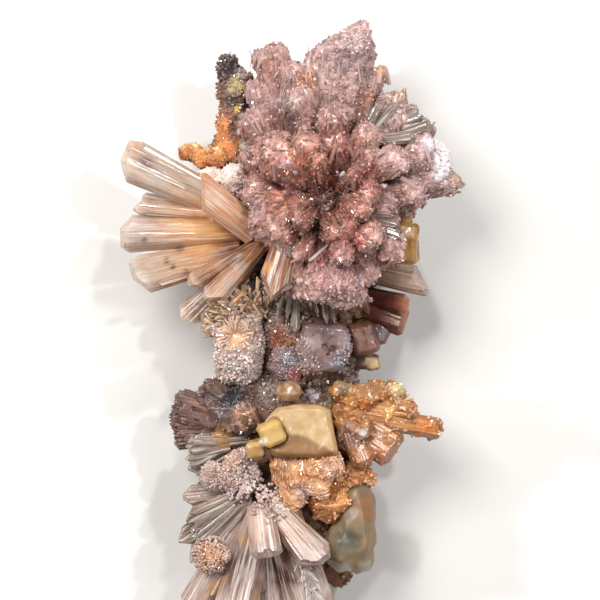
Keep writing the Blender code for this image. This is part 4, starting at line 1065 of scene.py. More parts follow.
def left_tint(points, share):
    """Orange-brown at the root, honey half-way and cream at the tips, with lilac clouds, white flaws and
    dark specks, and a painted highlight over the blades' ends."""
    far = np.linalg.norm(points[:, :2] - np.array([-9.0, 13.0]), axis=1) + 1.5 * soft_noise(points, 4, 11)
    tint = ramp(far, (3.0, 9.0, 15.0, 24.0), (
        (176, 104, 60), (226, 156, 100), (222, 174, 134), (208, 184, 166)))
    lilac = np.clip(layered_noise(points, 5.0, 2, 12) * 1.6, 0, 0.6)[:, None]
    tint = blend(tint, srgb(182, 152, 142), lilac)
    flaw = np.clip(layered_noise(points * np.array([0.5, 1.2, 1.0]), 1.6, 2, 13) * 3 - 0.9, 0, 0.7)[:, None]
    tint = blend(tint, srgb(240, 226, 210), flaw)
    seeds = [int(9 * row[2]) for row in LEFT_STAINS]
    tint = patched(points, tint, LEFT_STAINS, seeds, 0.85)
    # Painted highlight: the end of each blade is drawn towards pale cream.
    edge = np.clip((share - 0.93) / 0.07, 0, 1)[:, None]
    return blend(tint, srgb(246, 230, 212), 0.55 * edge)


# Tan, darker at the tip and along the upper edge, with a pale speckled middle.
petal_tint = paint_of((220, 166, 130), ((198, 138, 102, 2.2, 0.6, 21),),
    ((-17.6, 20.4, 2.8, 226, 192, 168), (-20.6, 23.0, 1.8, 200, 138, 102),
     (-13.0, 17.4, 2.6, 216, 162, 124)))

blade_piece("left_blades", "left_spray", "peach_creedite", "clear blades", LEFT_BLADES, left_tint,
            200, companions=4, ridges=0.1, steps=0.6, stations=24, slim=(0.08, 0.26), proud=(0.1, 0.36))
blade_piece("left_front_petal", "left_spray", "peach_creedite", "milky blades", FRONT_PETAL,
            petal_tint, 210, companions=0, ridges=0.06, steps=0.2, stations=16)


# Tan with lilac-grey clouds, orange-brown at the root, with a yellow patch and a pale lower edge.
diamond_tint = paint_of((152, 100, 68), ((126, 88, 76, 1.6, 0.8, 90),),
    ((-2.6, 12.0, 3.4, 140, 90, 64), (-6.4, 6.6, 1.8, 210, 150, 84), (-5.6, 1.6, 2.4, 180, 138, 108)))

DIAMOND = [
    blade((-2.4, 13.0, 27.4), (-5.9, 0.0, 32.8), 6.4, 3.0, point=-0.1, flat=0.04, drops=(5.2, 5.0),
          taper=0.75)
]
blade_piece("rosette_diamond", "purple_rosette", "mauve_creedite", "milky blades", DIAMOND,
            diamond_tint, 215, companions=3, ridges=0.1, steps=0.3, stations=14)

# %% [markdown]
# ## Crusts and stains
# The next pieces are rough bodies. They all take the same road: a skin over the solid, noise of a size
# that suits the mineral, stains in named places, and a scatter of grains where it sparkles. One
# function does the road, and each piece below says only what is its own.

# %% One road for every rough body
def rough_body(node, finish, paint, voxel, rounds, seed, lumps, bubbles=(1.2, 0.0), facets=(2.0, 0.0),
               swell=0.0, relief=None):
    """A node's skin, pushed by layered, bubble and facet noise, each given as size and height, kept
    above the floor, painted and made a piece. Gives the skin back, for grains."""
    corners, normals, quads = skin_over(node, voxel, rounds)
    push = swell + lumps[1] * layered_noise(corners, lumps[0], 3, seed)
    if bubbles[1]:
        push = push + bubbles[1] * (bubble_noise(corners, bubbles[0], seed + 5) - 0.4)
    if facets[1]:
        push = push + facets[1] * facet_noise(corners, facets[0], seed + 9)
    if relief is not None:
        push = push + relief(corners, normals)
    corners = corners + normals * push[:, None]
    corners[:, 2] = np.maximum(corners[:, 2], 0.0)
    body = Growth()
    body.add(corners, [quads], paint(corners, normals))
    make_piece(node + "_body", body, FINISH[finish], [node], smooth=True)
    return corners, quads


def add_druse(name, node, skin, count, size, paint, seed, pale=0.3, white=(205, 190, 186),
              weight=None, finish="druse"):
    """Grains over a skin, tinted as the skin is but drawn towards a pale colour."""
    pick = np.random.default_rng(seed)
    places, facing = scatter_on(*skin, count, seed, weight)
    corners, polygons = grow_grains(places, facing, pick.uniform(*size, count), seed + 1)
    druse = Growth()
    tint = blend(paint(places, facing), srgb(*white), pale)
    druse.add(corners, polygons, grain_tint(tint, seed + 2, 0.3))
    return make_piece(name, druse, FINISH[finish], [node])


print("ready for the rough bodies")

# %% [markdown]
# ## The brown rock
# What everything stands on. Little of it shows from the front, but it is most of the sides and the
# whole back, so it gets broken relief, and stout brown grains on its flanks.

# %% The rock and the grains on its flanks
# Grey-brown with rusty and dark clouds.
rock_paint = paint_of((104, 78, 66),
    ((70, 52, 48, 7.0, 0.8, 31), (150, 104, 70, 9.0, 0.6, 33), (128, 110, 104, 4.0, 0.5, 35)),
    ((-5.0, -18.6, 4.4, 96, 76, 70),))

rock_skin = rough_body("matrix_rock", "rough rock", rock_paint, voxel=0.8, rounds=1,
                       lumps=(3.0, 0.5), bubbles=(2.4, 0.3), facets=(3.4, 0.5), seed=30)
flank = np.clip((rock_skin[0][:, 2] - 2.0) / 4.0, 0.0, 1.0)
add_druse("matrix_grains", "matrix_rock", rock_skin, 1500, (0.7, 1.7), rock_paint, 36,
          pale=0.12, white=(196, 160, 130), weight=flank)


# Dark brown, with red-brown, lavender, blue-grey and tan in named places.
neck_paint = paint_of((108, 78, 64), ((206, 182, 168, 0.9, 0.8, 37), (72, 52, 46, 1.4, 0.8, 38)),
    ((-4.0, -7.4, 2.8, 150, 76, 54), (-1.6, -8.6, 1.8, 170, 110, 88), (-6.0, -1.6, 3.4, 96, 72, 62),
     (-3.6, -13.4, 2.6, 136, 134, 142), (-6.0, -18.4, 3.6, 138, 118, 110),
     (2.6, -19.4, 1.8, 190, 174, 184), (6.4, -20.4, 2.0, 150, 138, 110),
     (13.4, -15.4, 3.4, 156, 140, 144), (-2.0, -46.0, 4.0, 150, 104, 74)))

facing_up = np.clip((rock_skin[0][:, 2] - 9.0) / 4.0, 0, 1)
# How near each place is to the spots in the neck that carry grains. The spot with the most counts twice.
near = [stain(rock_skin[0], (x, y), radius)[:, 0] for x, y, radius in (
    (-4.0, -7.0, 5.0), (-5.0, -17.6, 5.0), (-6.0, -18.4, 4.0), (-6.0, -18.4, 4.0), (4.0, -19.0, 4.0),
    (13.0, -14.6, 5.0), (-2.0, -1.0, 5.0))]
add_druse("neck_grains", "matrix_rock", rock_skin, 1400, (0.5, 1.2), neck_paint, 39,
          pale=0.1, weight=facing_up * sum(near))

# %% [markdown]
# ## The iron-stained finger, the limonite and the white powder
# Three weathered crusts at the upper left: a grey and rust finger with a sulphur-coloured patch, a
# vivid orange band with a cream rim, and a soft white powder.

# %% Finger
# Rust, with grey, sulphur yellow and white in places.
finger_paint = paint_of((120, 84, 64), ((72, 60, 60, 2.5, 0.8, 41), (176, 110, 64, 2.0, 0.5, 42)),
    ((-14.8, 46.6, 4.4, 42, 34, 34), (-11.8, 45.4, 1.5, 150, 140, 132), (-13.0, 42.6, 2.2, 172, 158, 116),
     (-13.4, 39.6, 2.2, 84, 70, 64), (-15.8, 34.6, 3.2, 204, 132, 80), (-15.0, 30.4, 3.2, 200, 122, 70),
     (-12.6, 38.2, 1.2, 196, 158, 70), (-10.9, 36.6, 1.6, 228, 220, 210),
     (-10.9, 34.0, 1.6, 224, 216, 206), (-10.8, 31.2, 1.5, 220, 212, 204)))

finger_skin = rough_body("iron_finger", "rust crust", finger_paint, voxel=0.32, rounds=2,
                         lumps=(2.2, 0.6), bubbles=(1.1, 0.5), seed=40)
add_druse("finger_grains", "iron_finger", finger_skin, 1200, (0.3, 0.8), finger_paint, 43,
          pale=0.15)


# %% Limonite and white powder
def rust_paint(points, facing):
    """Vivid orange with brown folds, and a thin cream rim where the crust faces up the picture."""
    tint = stained(points, (178, 112, 64), ((124, 66, 38, 1.2, 0.9, 45), (212, 160, 108, 0.9, 0.6, 48)))
    rim = np.clip((facing[:, 1] - 0.75 + 0.3 * soft_noise(points, 0.7, 49)) * 4.0, 0, 1)[:, None]
    return blend(tint, srgb(222, 204, 156), rim)


# Pinkish white with warm clouds.
powder_paint = paint_of((214, 190, 178), ((176, 142, 130, 1.6, 0.9, 47), (226, 214, 210, 1.0, 0.6, 50)))

rust_skin = rough_body("limonite_crust", "rust crust", rust_paint, voxel=0.26, rounds=1,
                       lumps=(1.0, 0.4), bubbles=(0.6, 0.35), facets=(0.9, 0.2), seed=44)
add_druse("limonite_grains", "limonite_crust", rust_skin, 500, (0.2, 0.5), rust_paint, 481,
          pale=0.1, white=(236, 216, 150), finish="rust crust")
powder_skin = rough_body("white_crust", "white powder", powder_paint, voxel=0.28, rounds=2,
                         lumps=(1.2, 0.4), bubbles=(0.6, 0.3), facets=(1.0, 0.2), seed=46)
add_druse("white_crust_grains", "white_crust", powder_skin, 500, (0.2, 0.5), powder_paint,
          482, pale=0.3, white=(240, 232, 228), finish="white powder")

# %% [markdown]
# ## The neck
# Below the rosette hang clear prisms, before a mauve fluorite face with one tiny hole, brown fluorite
# blocks at the right, and at the left a knob of sugary druse with a peach star and gold needles.

# %% Clear prisms
NECK_PRISMS = [
    blade((-0.8, 0.6, 20), (-1.0, -6.6, 24), 2.0, 1.8, flat=0.1, drops=(1.0, 1.6)),
    blade((-1.8, 0.4, 20), (-2.6, -3.6, 23), 1.4, 1.2),
    blade((-3.4, 0.4, 20), (-4.6, -3.0, 22.6), 1.1, 1.0),
    blade((4.6, 0.4, 20), (5.4, -4.6, 24), 1.3, 1.2),
    blade((5.6, 0.4, 20), (7.0, -4.6, 23), 1.3, 1.2),
    blade((2.8, 0.4, 20), (3.6, -3.4, 23), 1.0, 1.0),
]

# Nearly colourless, a little smoky.
prism_paint = paint_of((186, 172, 162), ((112, 92, 80, 1.0, 0.8, 51),))

blade_piece("clear_prisms", "neck_prisms", "clear_creedite", "streaked glass", NECK_PRISMS,
            prism_paint, 220, companions=3, ridges=0.16, steps=0.5, stations=4)


# %% Mauve and brown fluorite
HOLE = (6.6, -9.6)

# Mauve-grey, with red-brown and blue-grey at its left, and painted shade in the hole.
mauve_paint = paint_of((128, 100, 98), ((106, 92, 98, 2.6, 0.7, 53), (164, 132, 126, 1.2, 0.6, 54)),
    ((-3.2, -7.6, 2.6, 128, 60, 42), (-2.0, -12.2, 2.6, 108, 112, 120), (-0.6, -14.8, 2.4, 150, 92, 86),
     (8.0, -13.0, 3.0, 124, 116, 126), (9.6, -8.0, 1.8, 156, 144, 150), (4.6, -5.6, 2.2, 104, 84, 84),
     (2.4, -8.6, 2.2, 170, 150, 150), (*HOLE, 0.9, 38, 28, 28)))


def mauve_relief(points, normals):
    """Shallow growth steps, fine ridges on the right edge, and the hole's wall pushed inward."""
    terrace = np.round(layered_noise(points, 3.0, 2, 55) * 4) / 4 * 0.3
    ridge = 0.12 * np.sin(points[:, 1] * 7.0) * (points[:, 0] > 8.5)
    wall = np.clip(1.7 - np.linalg.norm(points[:, :2] - HOLE, axis=1), 0, 1)
    return terrace + ridge + 0.6 * wall * (normals[:, 2] < 0.85)


# Translucent brown, grey at the right and dark below, with one yellow block.
brown_paint = paint_of((134, 88, 70), ((104, 64, 52, 3.0, 0.6, 57),),
    ((16.4, -6.4, 2.6, 112, 94, 96), (11.2, -12.2, 3.0, 78, 60, 58), (14.8, -12.8, 1.9, 188, 162, 114)))

mauve_skin = rough_body("mauve_fluorite", "brown fluorite", mauve_paint, voxel=0.3,
                        rounds=2, lumps=(2.4, 0.2), facets=(1.6, 0.2), seed=52, relief=mauve_relief)
sugar = stain(mauve_skin[0], (-2.0, -11.4), 6.0)[:, 0] + 0.5 * stain(mauve_skin[0], (9.0, -11.0), 3.0)[:, 0]
add_druse("mauve_grains", "mauve_fluorite", mauve_skin, 800, (0.3, 0.7), mauve_paint, 56,
          weight=sugar)
rough_body("brown_fluorite", "brown fluorite", brown_paint, voxel=0.3, rounds=2,
           lumps=(2.0, 0.15), facets=(2.0, 0.25), seed=58)


# %% The drusy knob, its star and its gold needles
STAR = np.array([-13.0, -7.0, 21.6])

# Pale sugar, peach at the star, gold-brown above.
knob_paint = paint_of((182, 150, 134), ((120, 80, 62, 1.0, 0.9, 61), (232, 210, 194, 0.9, 0.5, 59)),
    ((-12.0, -13.5, 4.6, 202, 182, 176), (-11.5, -1.2, 4.8, 160, 116, 86), (-7.4, -7.0, 2.4, 140, 78, 56),
     (*STAR[:2], 3.6, 212, 164, 128), (-9.0, -11.4, 1.6, 150, 104, 84),
     (-16.4, -8.0, 1.6, 222, 196, 180)))

# Gold-brown with cream and dark clouds.
gold_paint = paint_of((226, 182, 138), ((250, 238, 220, 1.0, 0.9, 64), (136, 92, 66, 1.6, 0.7, 67)))


def knob_needles():
    """A flat star of fine needles from its centre, and brown needles in sheaves that lean up and left."""
    pick = np.random.default_rng(62)
    needles = Growth()
    turn, rise = pick.uniform(0, 2 * math.pi, 260), pick.uniform(0.05, 0.7, 260)
    reach = pick.uniform(1.6, 3.9, 260)
    heads = STAR + np.stack([np.cos(turn) * reach, np.sin(turn) * reach, rise * 2.0 - 0.6], axis=1)
    feet = STAR + (heads - STAR) * 0.08 - np.array([0, 0, 0.6])
    add_needles(needles, feet, heads, pick.uniform(0.16, 0.34, 260),
                paint_of((238, 206, 182), (), ((*STAR[:2], 1.8, 240, 186, 136),)), 63)
    for centre, lean, count in (
        ((-15.0, -1.6, 18.4), (-0.8, 0.3, 0.5), 70), ((-11.0, -0.6, 19.0), (-0.5, 0.6, 0.5), 90),
        ((-16.0, -5.0, 17.8), (-1.0, -0.1, 0.4), 60), ((-8.4, -1.6, 18.4), (-0.2, 0.8, 0.5), 60)
    ):
        feet = np.array(centre) + pick.normal(0, 1.2, (count, 3))
        way = np.array(lean) + pick.normal(0, 0.4, (count, 3))
        heads = feet + way / np.linalg.norm(way, axis=1, keepdims=True) * pick.uniform(1.4, 3.2, (count, 1))
        add_needles(needles, feet, heads, pick.uniform(0.3, 0.9, count), gold_paint, 65, 0.25, 0.75)
    return needles


knob_skin = rough_body("drusy_knob", "druse", knob_paint, voxel=0.35, rounds=3,
                       lumps=(2.6, 0.7), bubbles=(1.1, 0.5), seed=60)
away_from_star = 0.15 + 0.85 * (1 - stain(knob_skin[0], (-13.0, -7.0), 4.2)[:, 0])
add_druse("knob_grains", "drusy_knob", knob_skin, 1900, (0.5, 1.1), knob_paint, 66,
          pale=0.35, white=(238, 226, 222), weight=away_from_star)
make_piece("knob_needles", knob_needles(), FINISH["mauve glass"], ["drusy_knob"])

# %% [markdown]
# ## The right side of the upper half
# Honey fluorite blocks look out from under the rosette. Below them are a smoky clear blade and two dark
# red ones, whose ends catch the light.

# %% Honey blocks, the smoky blade and the maroon blades
# Honey, tan and cream.
honey_paint = paint_of((190, 136, 64), ((150, 100, 58, 2.4, 0.8, 71), (228, 196, 140, 1.6, 0.4, 72)))

SMOKY = [blade((14, 6, 17), (26.0, 3.4, 22), 5.8, 4.0, point=0.7, flat=0.2, drops=(3.6, 0.8), taper=0.9)]
MAROON = [
    blade((12, 1, 13), (21.6, -1.2, 19), 4.4, 3.4, point=-0.1, flat=0.5, drops=(1.2, 1.2), taper=0.9),
    blade((11, -1, 13), (21.4, -4.4, 16), 6.4, 4.4, point=0.1, flat=0.7, drops=(0.8, 0.8), taper=0.9),
]


def smoky_paint(points, share):
    """Smoky brown inside, pink towards the tip."""
    rise = np.clip((points[:, 0] - 19.0) / 7.0, 0, 1)[:, None]
    return blend(srgb(204, 176, 156), srgb(240, 214, 204), rise)


def maroon_paint(points, share):
    """Dark red, orange-brown at the free end: partly its own colour and partly a painted highlight where
    the end catches the light.
    """
    rise = np.clip((points[:, 0] - 19.6) / 1.8, 0, 1)[:, None]
    return blend(stained(points, (108, 62, 54), ((72, 44, 40, 1.6, 0.8, 75),)), srgb(190, 124, 94), rise)


rough_body("honey_fluorite", "waxy fluorite", honey_paint, voxel=0.28, rounds=2,
           lumps=(2.0, 0.1), facets=(2.6, 0.3), seed=70)
blade_piece("smoky_crystal", "smoky_blade", "smoky_creedite", "smoky glass", SMOKY, smoky_paint,
            230, companions=3, ridges=0.05, steps=0.2)
blade_piece("maroon_crystals", "maroon_blades", "maroon_creedite", "maroon glass", MAROON,
            maroon_paint, 240, companions=2, ridges=0.08, steps=0.3)

# %% [markdown]
# ## Yellow fluorite and its small cubes
# The calmest surface of the specimen: a waxy block, creamy yellow above and grey-tan below a curved
# line where the light enters it. Two small cubes and a honey ball sit against it.

# %% Yellow block, cubes and ball
def yellow_paint(points, facing):
    """Creamy yellow above an arch, grey-tan below it: the arch is a parabola across the block."""
    arch = -26.3 - 0.042 * (points[:, 0] + 3.0) ** 2 + 0.3 * soft_noise(points, 1.6, 81)
    below = np.clip((arch - points[:, 1]) / 0.7, 0, 1)[:, None]
    upper = stained(points, (184, 150, 106), ((164, 128, 84, 2.6, 0.8, 82), (212, 186, 142, 1.2, 0.5, 83)))
    return blend(upper, stained(points, (140, 100, 60), ((112, 82, 52, 1.6, 0.7, 84),)), below)


# Bright yellow above, tan in the lower cube, with white where they meet.
cube_paint = paint_of((198, 158, 92), ((218, 186, 126, 1.6, 0.5, 86),),
    ((-8.8, -29.8, 2.4, 166, 130, 88), (-7.2, -27.9, 1.1, 240, 230, 206)))

# Honey with brown specks.
ball_paint = paint_of((196, 162, 126), ((146, 94, 70, 1.2, 0.9, 88),))

rough_body("yellow_fluorite", "waxy fluorite", yellow_paint, voxel=0.33, rounds=4,
           lumps=(3.2, 0.3), seed=80)
rough_body("small_yellow_cubes", "waxy fluorite", cube_paint, voxel=0.25, rounds=4,
           lumps=(1.6, 0.15), seed=85)
rough_body("honey_ball", "amber glass", ball_paint, voxel=0.22, rounds=4,
           lumps=(1.6, 0.15), seed=87)

# %% [markdown]
# ## The amber cluster, the orange tuft and their crust
# Iron has stained these crystals through and through. The cluster ends in one long square prism. The
# tuft is a swirl of short orange blades, rounded at the right end.

# %% Amber cluster
AMBER = [
    blade((9, -22.6, 19), (28.1, -25.8, 21), 4.4, 4.2, flat=0.8, drops=(0.3, 0.3), taper=0.95),
    blade((10, -21, 18), (23.4, -22.4, 22), 4.2, 3.6, flat=0.6, drops=(0.8, 0.8), taper=0.8),
    blade((9, -23.4, 18), (19.4, -30.2, 20.5), 8.6, 5.0, flat=0.6, drops=(1.6, 1.0), taper=0.8),
    blade((10, -25, 19), (13.2, -33.2, 21.5), 5.4, 4.0, flat=0.4, drops=(1.4, 1.0), taper=0.8),
    blade((9, -24, 19), (13.4, -26.2, 25), 4.6, 3.2, flat=0.5, drops=(1.0, 1.0), taper=0.8),
]

# Orange-brown, cream at the upper right, pink and clear at the lower right, and a small painted highlight
# at 12.6, -26.4 where the short upper blade ends.
amber_paint = paint_of((184, 114, 58), ((130, 74, 42, 1.6, 0.9, 91), (230, 180, 118, 1.0, 0.7, 92)),
    ((20.0, -17.6, 2.6, 238, 214, 160), (14.0, -18.0, 2.6, 178, 132, 92),
     (8.6, -17.0, 2.4, 162, 142, 108), (15.0, -30.0, 5.4, 196, 134, 100),
     (9.6, -28.0, 3.6, 190, 142, 122), (25.0, -25.6, 3.8, 212, 130, 60),
     (12.6, -26.4, 1.3, 230, 216, 206), (9.4, -25.4, 2.0, 206, 164, 144),
     (18.0, -22.6, 2.0, 232, 176, 96), (13.0, -21.0, 1.8, 198, 118, 62)))

blade_piece("amber_crystals", "amber_cluster", "amber_creedite", "amber glass", AMBER, amber_paint,
            250, companions=3, ridges=0.08, steps=0.5, slim=(0.25, 0.5))
amber_skin = rough_body("amber_cluster", "amber glass", amber_paint,
                        voxel=0.3, rounds=1, swell=-0.1, lumps=(1.2, 0.15), facets=(2.2, 0.7), seed=90)
add_druse("amber_grains", "amber_cluster", amber_skin, 420, (0.3, 0.8),
          amber_paint, 93, pale=0.25)

# %% Orange tuft and amber crust
def swirl(points):
    """The direction round the middle of the tuft's rounded right end, tilted up a little."""
    away = points - np.array([3.6, -33.4, 22.0])
    way = np.stack([-away[:, 1], away[:, 0], 0.2 + 0 * away[:, 0]], axis=1)
    return way / np.linalg.norm(way, axis=1, keepdims=True)


# Orange-peach, deeper orange in the folds, pinkish at the right end.
tuft_paint = paint_of((230, 174, 124), ((210, 132, 84, 1.4, 0.7, 95), (244, 212, 182, 0.9, 0.5, 89)),
    ((6.4, -33.2, 2.8, 228, 180, 156), (-3.4, -35.0, 2.4, 196, 142, 108),
     (0.6, -38.6, 2.4, 212, 176, 162), (-6.0, -32.0, 2.0, 198, 132, 62), (0.6, -35.2, 1.6, 222, 148, 96)))

# Orange-brown with dark folds.
crust_paint = paint_of((250, 160, 86), ((150, 96, 62, 1.8, 0.8, 97), (240, 196, 140, 1.2, 0.6, 98)))

tuft = Growth()
tuft_skin = rough_body("orange_tuft", "mauve glass", tuft_paint,
                       voxel=0.3, rounds=3, lumps=(1.3, 0.3), bubbles=(1.0, 0.25), facets=(1.2, 0.25),
                       seed=94)
tuft_places, tuft_facing = scatter_on(*tuft_skin, 900, 261)
tuft_way = swirl(tuft_places)
tuft_way = tuft_way - tuft_facing * np.einsum("ij,ij->i", tuft_way, tuft_facing)[:, None]
add_needles(tuft, tuft_places - tuft_way * 1.1, tuft_places + tuft_way * 0.9 + tuft_facing * 0.15,
            np.random.default_rng(262).uniform(0.2, 0.5, 900), tuft_paint, 263, 0.3, 0.85)
make_piece("tuft_crystals", tuft, FINISH["mauve needles"], ["orange_tuft"])
add_druse("tuft_grains", "orange_tuft", tuft_skin, 420, (0.25, 0.6),
          tuft_paint, 96, pale=0.25)
crust_skin = rough_body("amber_crust", "amber glass", crust_paint, voxel=0.33, rounds=1,
                        lumps=(1.4, 0.3), facets=(1.6, 0.6), seed=99)
add_druse("crust_grains", "amber_crust", crust_skin, 420, (0.3, 0.8), crust_paint, 483,
          pale=0.25)

# %% [markdown]
# ## Green fluorite
# A smooth, rounded, see-through block at the lower right, grey-green with orange stains.

# %% Green fluorite
# Grey-green, orange near the top, pale along the lower edge.
green_paint = paint_of((170, 148, 120), ((136, 118, 94, 3.0, 0.7, 101),),
    ((13.4, -41.4, 3.4, 178, 128, 90), (15.4, -49.0, 2.8, 186, 146, 104), (9.6, -48.0, 3.0, 116, 114, 96),
     (9.0, -38.6, 2.6, 190, 160, 120), (8.6, -54.4, 2.2, 212, 206, 190), (13.6, -54.0, 2.0, 206, 200, 184)))

rough_body("green_fluorite", "green fluorite", green_paint, voxel=0.38, rounds=8,
           lumps=(3.0, 0.35), seed=100)

# %% [markdown]
# ## The dark fibrous mass
# Plates of dark fibres fan out to the upper left. A sheaf of needles fills each, with a drawn-in skin
# behind so that no daylight shows between.

# %% Dark fibres
DARK_ROOT = (-9, -26, 13)
DARK = [
    blade(DARK_ROOT, (-26.0, -21.6, 15), 9.0, 6.0, flat=0.6, drops=(1.5, 1.5), taper=0.8),
    blade(DARK_ROOT, (-25.6, -27.0, 14), 7.0, 6.0, flat=0.6, drops=(1.5, 1.5), taper=0.8),
    blade(DARK_ROOT, (-20.4, -17.4, 15), 8.0, 6.0, flat=0.5, drops=(2.0, 2.0), taper=0.8),
    blade(DARK_ROOT, (-12.6, -16.8, 15), 8.0, 6.0, flat=0.5, drops=(2.0, 2.0), taper=0.8),
    blade((-8, -26, 17), (-11.4, -21.0, 22), 4.6, 3.0, flat=0.4, drops=(1.0, 1.0)),
]
DARK_CLEAR = [
    blade((-10, -28, 16), (-23.0, -29.4, 17), 3.6, 3.0, flat=0.1, drops=(2.0, 2.0)),
    blade((-10, -29, 15), (-22.6, -34.0, 16), 4.2, 3.0, flat=0.1, drops=(2.0, 2.0)),
    blade((-14, -29, 17), (-22.4, -30.4, 19.4), 1.8, 1.2, flat=0.1, drops=(1.2, 0.8), roll=30),
    blade((-14, -30, 17), (-23.0, -31.8, 19.0), 1.6, 1.1, flat=0.1, drops=(0.8, 1.2), roll=-25),
    blade((-14, -29, 17), (-21.6, -28.4, 19.8), 1.5, 1.0, flat=0.1, drops=(1.0, 0.6), roll=15),
    blade((-15, -30, 17), (-22.0, -33.2, 18.6), 1.6, 1.0, flat=0.1, drops=(0.8, 1.0), roll=40),
    blade((-14, -31, 17), (-20.8, -35.2, 18.2), 1.4, 1.0, flat=0.1, drops=(0.8, 0.8), roll=-35),
]

# Dark brown-grey, reddish at the left, blue-grey in the middle.
dark_paint = paint_of((96, 74, 68), ((58, 46, 46, 2.2, 0.8, 111), (140, 112, 98, 1.2, 0.5, 112)),
    ((-22.5, -23.0, 4.4, 108, 78, 74), (-13.6, -19.8, 3.6, 46, 44, 50), (-6.6, -19.0, 3.4, 124, 106, 100),
     (-11.0, -23.4, 3.0, 214, 170, 146), (-15.6, -28.6, 3.4, 196, 150, 90),
     (-8.0, -23.4, 1.6, 176, 160, 158)))


def dark_sheaves():
    """Needles in each plate."""
    fibres = Growth()
    for number, row in enumerate(DARK):
        count = int(4.5 * row["width"] * row["thick"])
        foot, head, thin = sheaf(**row, count=count, seed=number + 700, thin=0.8, start=0.15, short=0.12)
        add_needles(fibres, foot, head, thin, dark_paint, number + 720, 0.4)
    return fibres


# Smoky with brown streaks, and white streaks that are partly milky flaws and partly painted highlights.
prism_glass_paint = paint_of((172, 148, 130),
    ((94, 72, 60, 0.9, 0.9, 114), (240, 230, 222, 0.7, 0.5, 115)),
    ((-15.6, -28.5, 2.2, 196, 146, 84), (-21.0, -45.6, 5.0, 136, 112, 96)))

dark_skin = rough_body("dark_fibrous_mass", "dark fibres", dark_paint, voxel=0.4, rounds=3,
                       swell=-0.5, lumps=(1.8, 0.4), bubbles=(1.0, 0.2), facets=(1.8, 0.4), seed=110)
make_piece("dark_sheaves", dark_sheaves(), FINISH["dark fibres"], ["dark_fibrous_mass"])
add_druse("dark_grains", "dark_fibrous_mass", dark_skin, 500, (0.3, 0.7), dark_paint, 113,
          pale=0.15)
blade_piece("dark_clear_blades", "dark_fibrous_mass", "lilac_creedite", "streaked glass",
            DARK_CLEAR, prism_glass_paint, 270, companions=4, stations=5)

# %% [markdown]
# ## The spray at the lower end
# Lilac and clear blades run down from one root, with feathery white fibres in the right one, a sugary
# tan patch at the left, and a fuzzy druse where they leave the root.

# %% Lower spray
LOWER = [
    blade((-4, -41, 18), (3.6, -66.0, 21), 10.0, 5.5, point=0.2, flat=0.3, drops=(4.0, 3.0), taper=0.7),
    blade((-5, -42, 21), (4.4, -52.6, 26), 7.6, 3.6, point=-0.3, flat=0.3, drops=(2.0, 3.0)),
    blade((-8, -41, 21), (-6.6, -51.2, 26), 6.6, 3.6, flat=0.6, drops=(0.8, 0.8), taper=0.8),
    blade((-8, -42, 18), (-13.6, -64.6, 22), 8.8, 4.6, point=0.2, flat=0.4, drops=(2.6, 3.2), taper=0.7),
    blade((-6, -42, 16), (-4.4, -64.0, 17), 7.0, 4.0, flat=0.3, drops=(2.0, 2.0)),
    blade((-10, -41, 17), (-22.2, -63.0, 19), 6.6, 4.0, flat=0.2, drops=(2.5, 2.5), taper=0.7),
    blade((-10, -40, 18), (-22.0, -52.6, 19), 4.4, 3.0, flat=0.1, drops=(2.5, 2.5)),
    blade((-10, -39, 18), (-24.4, -48.6, 17), 4.6, 3.0, flat=0.1, drops=(2.5, 2.5)),
    blade((-10, -38, 19), (-22.8, -44.4, 20), 4.4, 2.8, flat=0.1, drops=(2.5, 2.5)),
    blade((-10, -38, 18), (-23.6, -39.6, 17), 4.6, 3.0, flat=0.2, drops=(2.0, 2.0)),
    blade((-9, -37, 19), (-20.0, -34.6, 22), 6.0, 4.0, flat=0.4, drops=(1.5, 1.5)),
    blade((-9, -37, 19), (-13.6, -30.6, 22), 6.6, 4.0, flat=0.4, drops=(1.5, 1.5)),
]

# Lilac-white with smoky clouds and yellow stains. The dark brown patches near x -3, y -51 to -55, between
# the blades at the lower right, are partly brown crystal seen through and partly painted shadow.
lower_paint = paint_of((172, 142, 132), ((138, 110, 102, 4.0, 0.8, 121), (222, 202, 190, 2.2, 0.6, 122)),
    ((-12.0, -54.5, 5.4, 122, 86, 78), (-20.6, -44.0, 5.0, 110, 82, 72),
     (-20.4, -31.6, 3.8, 162, 134, 116), (-13.5, -34.0, 5.4, 184, 150, 132),
     (-18.0, -50.8, 4.0, 196, 156, 130), (-9.0, -44.6, 4.4, 222, 188, 168),
     (-1.0, -45.4, 5.0, 176, 136, 110), (-17.0, -58.0, 1.9, 192, 138, 66),
     (-11.0, -48.0, 1.5, 200, 148, 78), (-15.4, -55.4, 1.2, 196, 142, 70),
     (-8.8, -59.0, 1.6, 176, 134, 92), (-3.2, -55.4, 3.4, 84, 48, 28), (-2.0, -51.0, 2.2, 120, 84, 64),
     (-20.5, -30.6, 2.0, 150, 118, 84), (2.4, -57.0, 3.4, 222, 206, 196)))

blade_piece("lower_blades", "lower_spray", "lilac_creedite", "milky blades", LOWER, lower_paint,
            280, companions=4, ridges=0.09, steps=0.7, stations=14, slim=(0.1, 0.32))


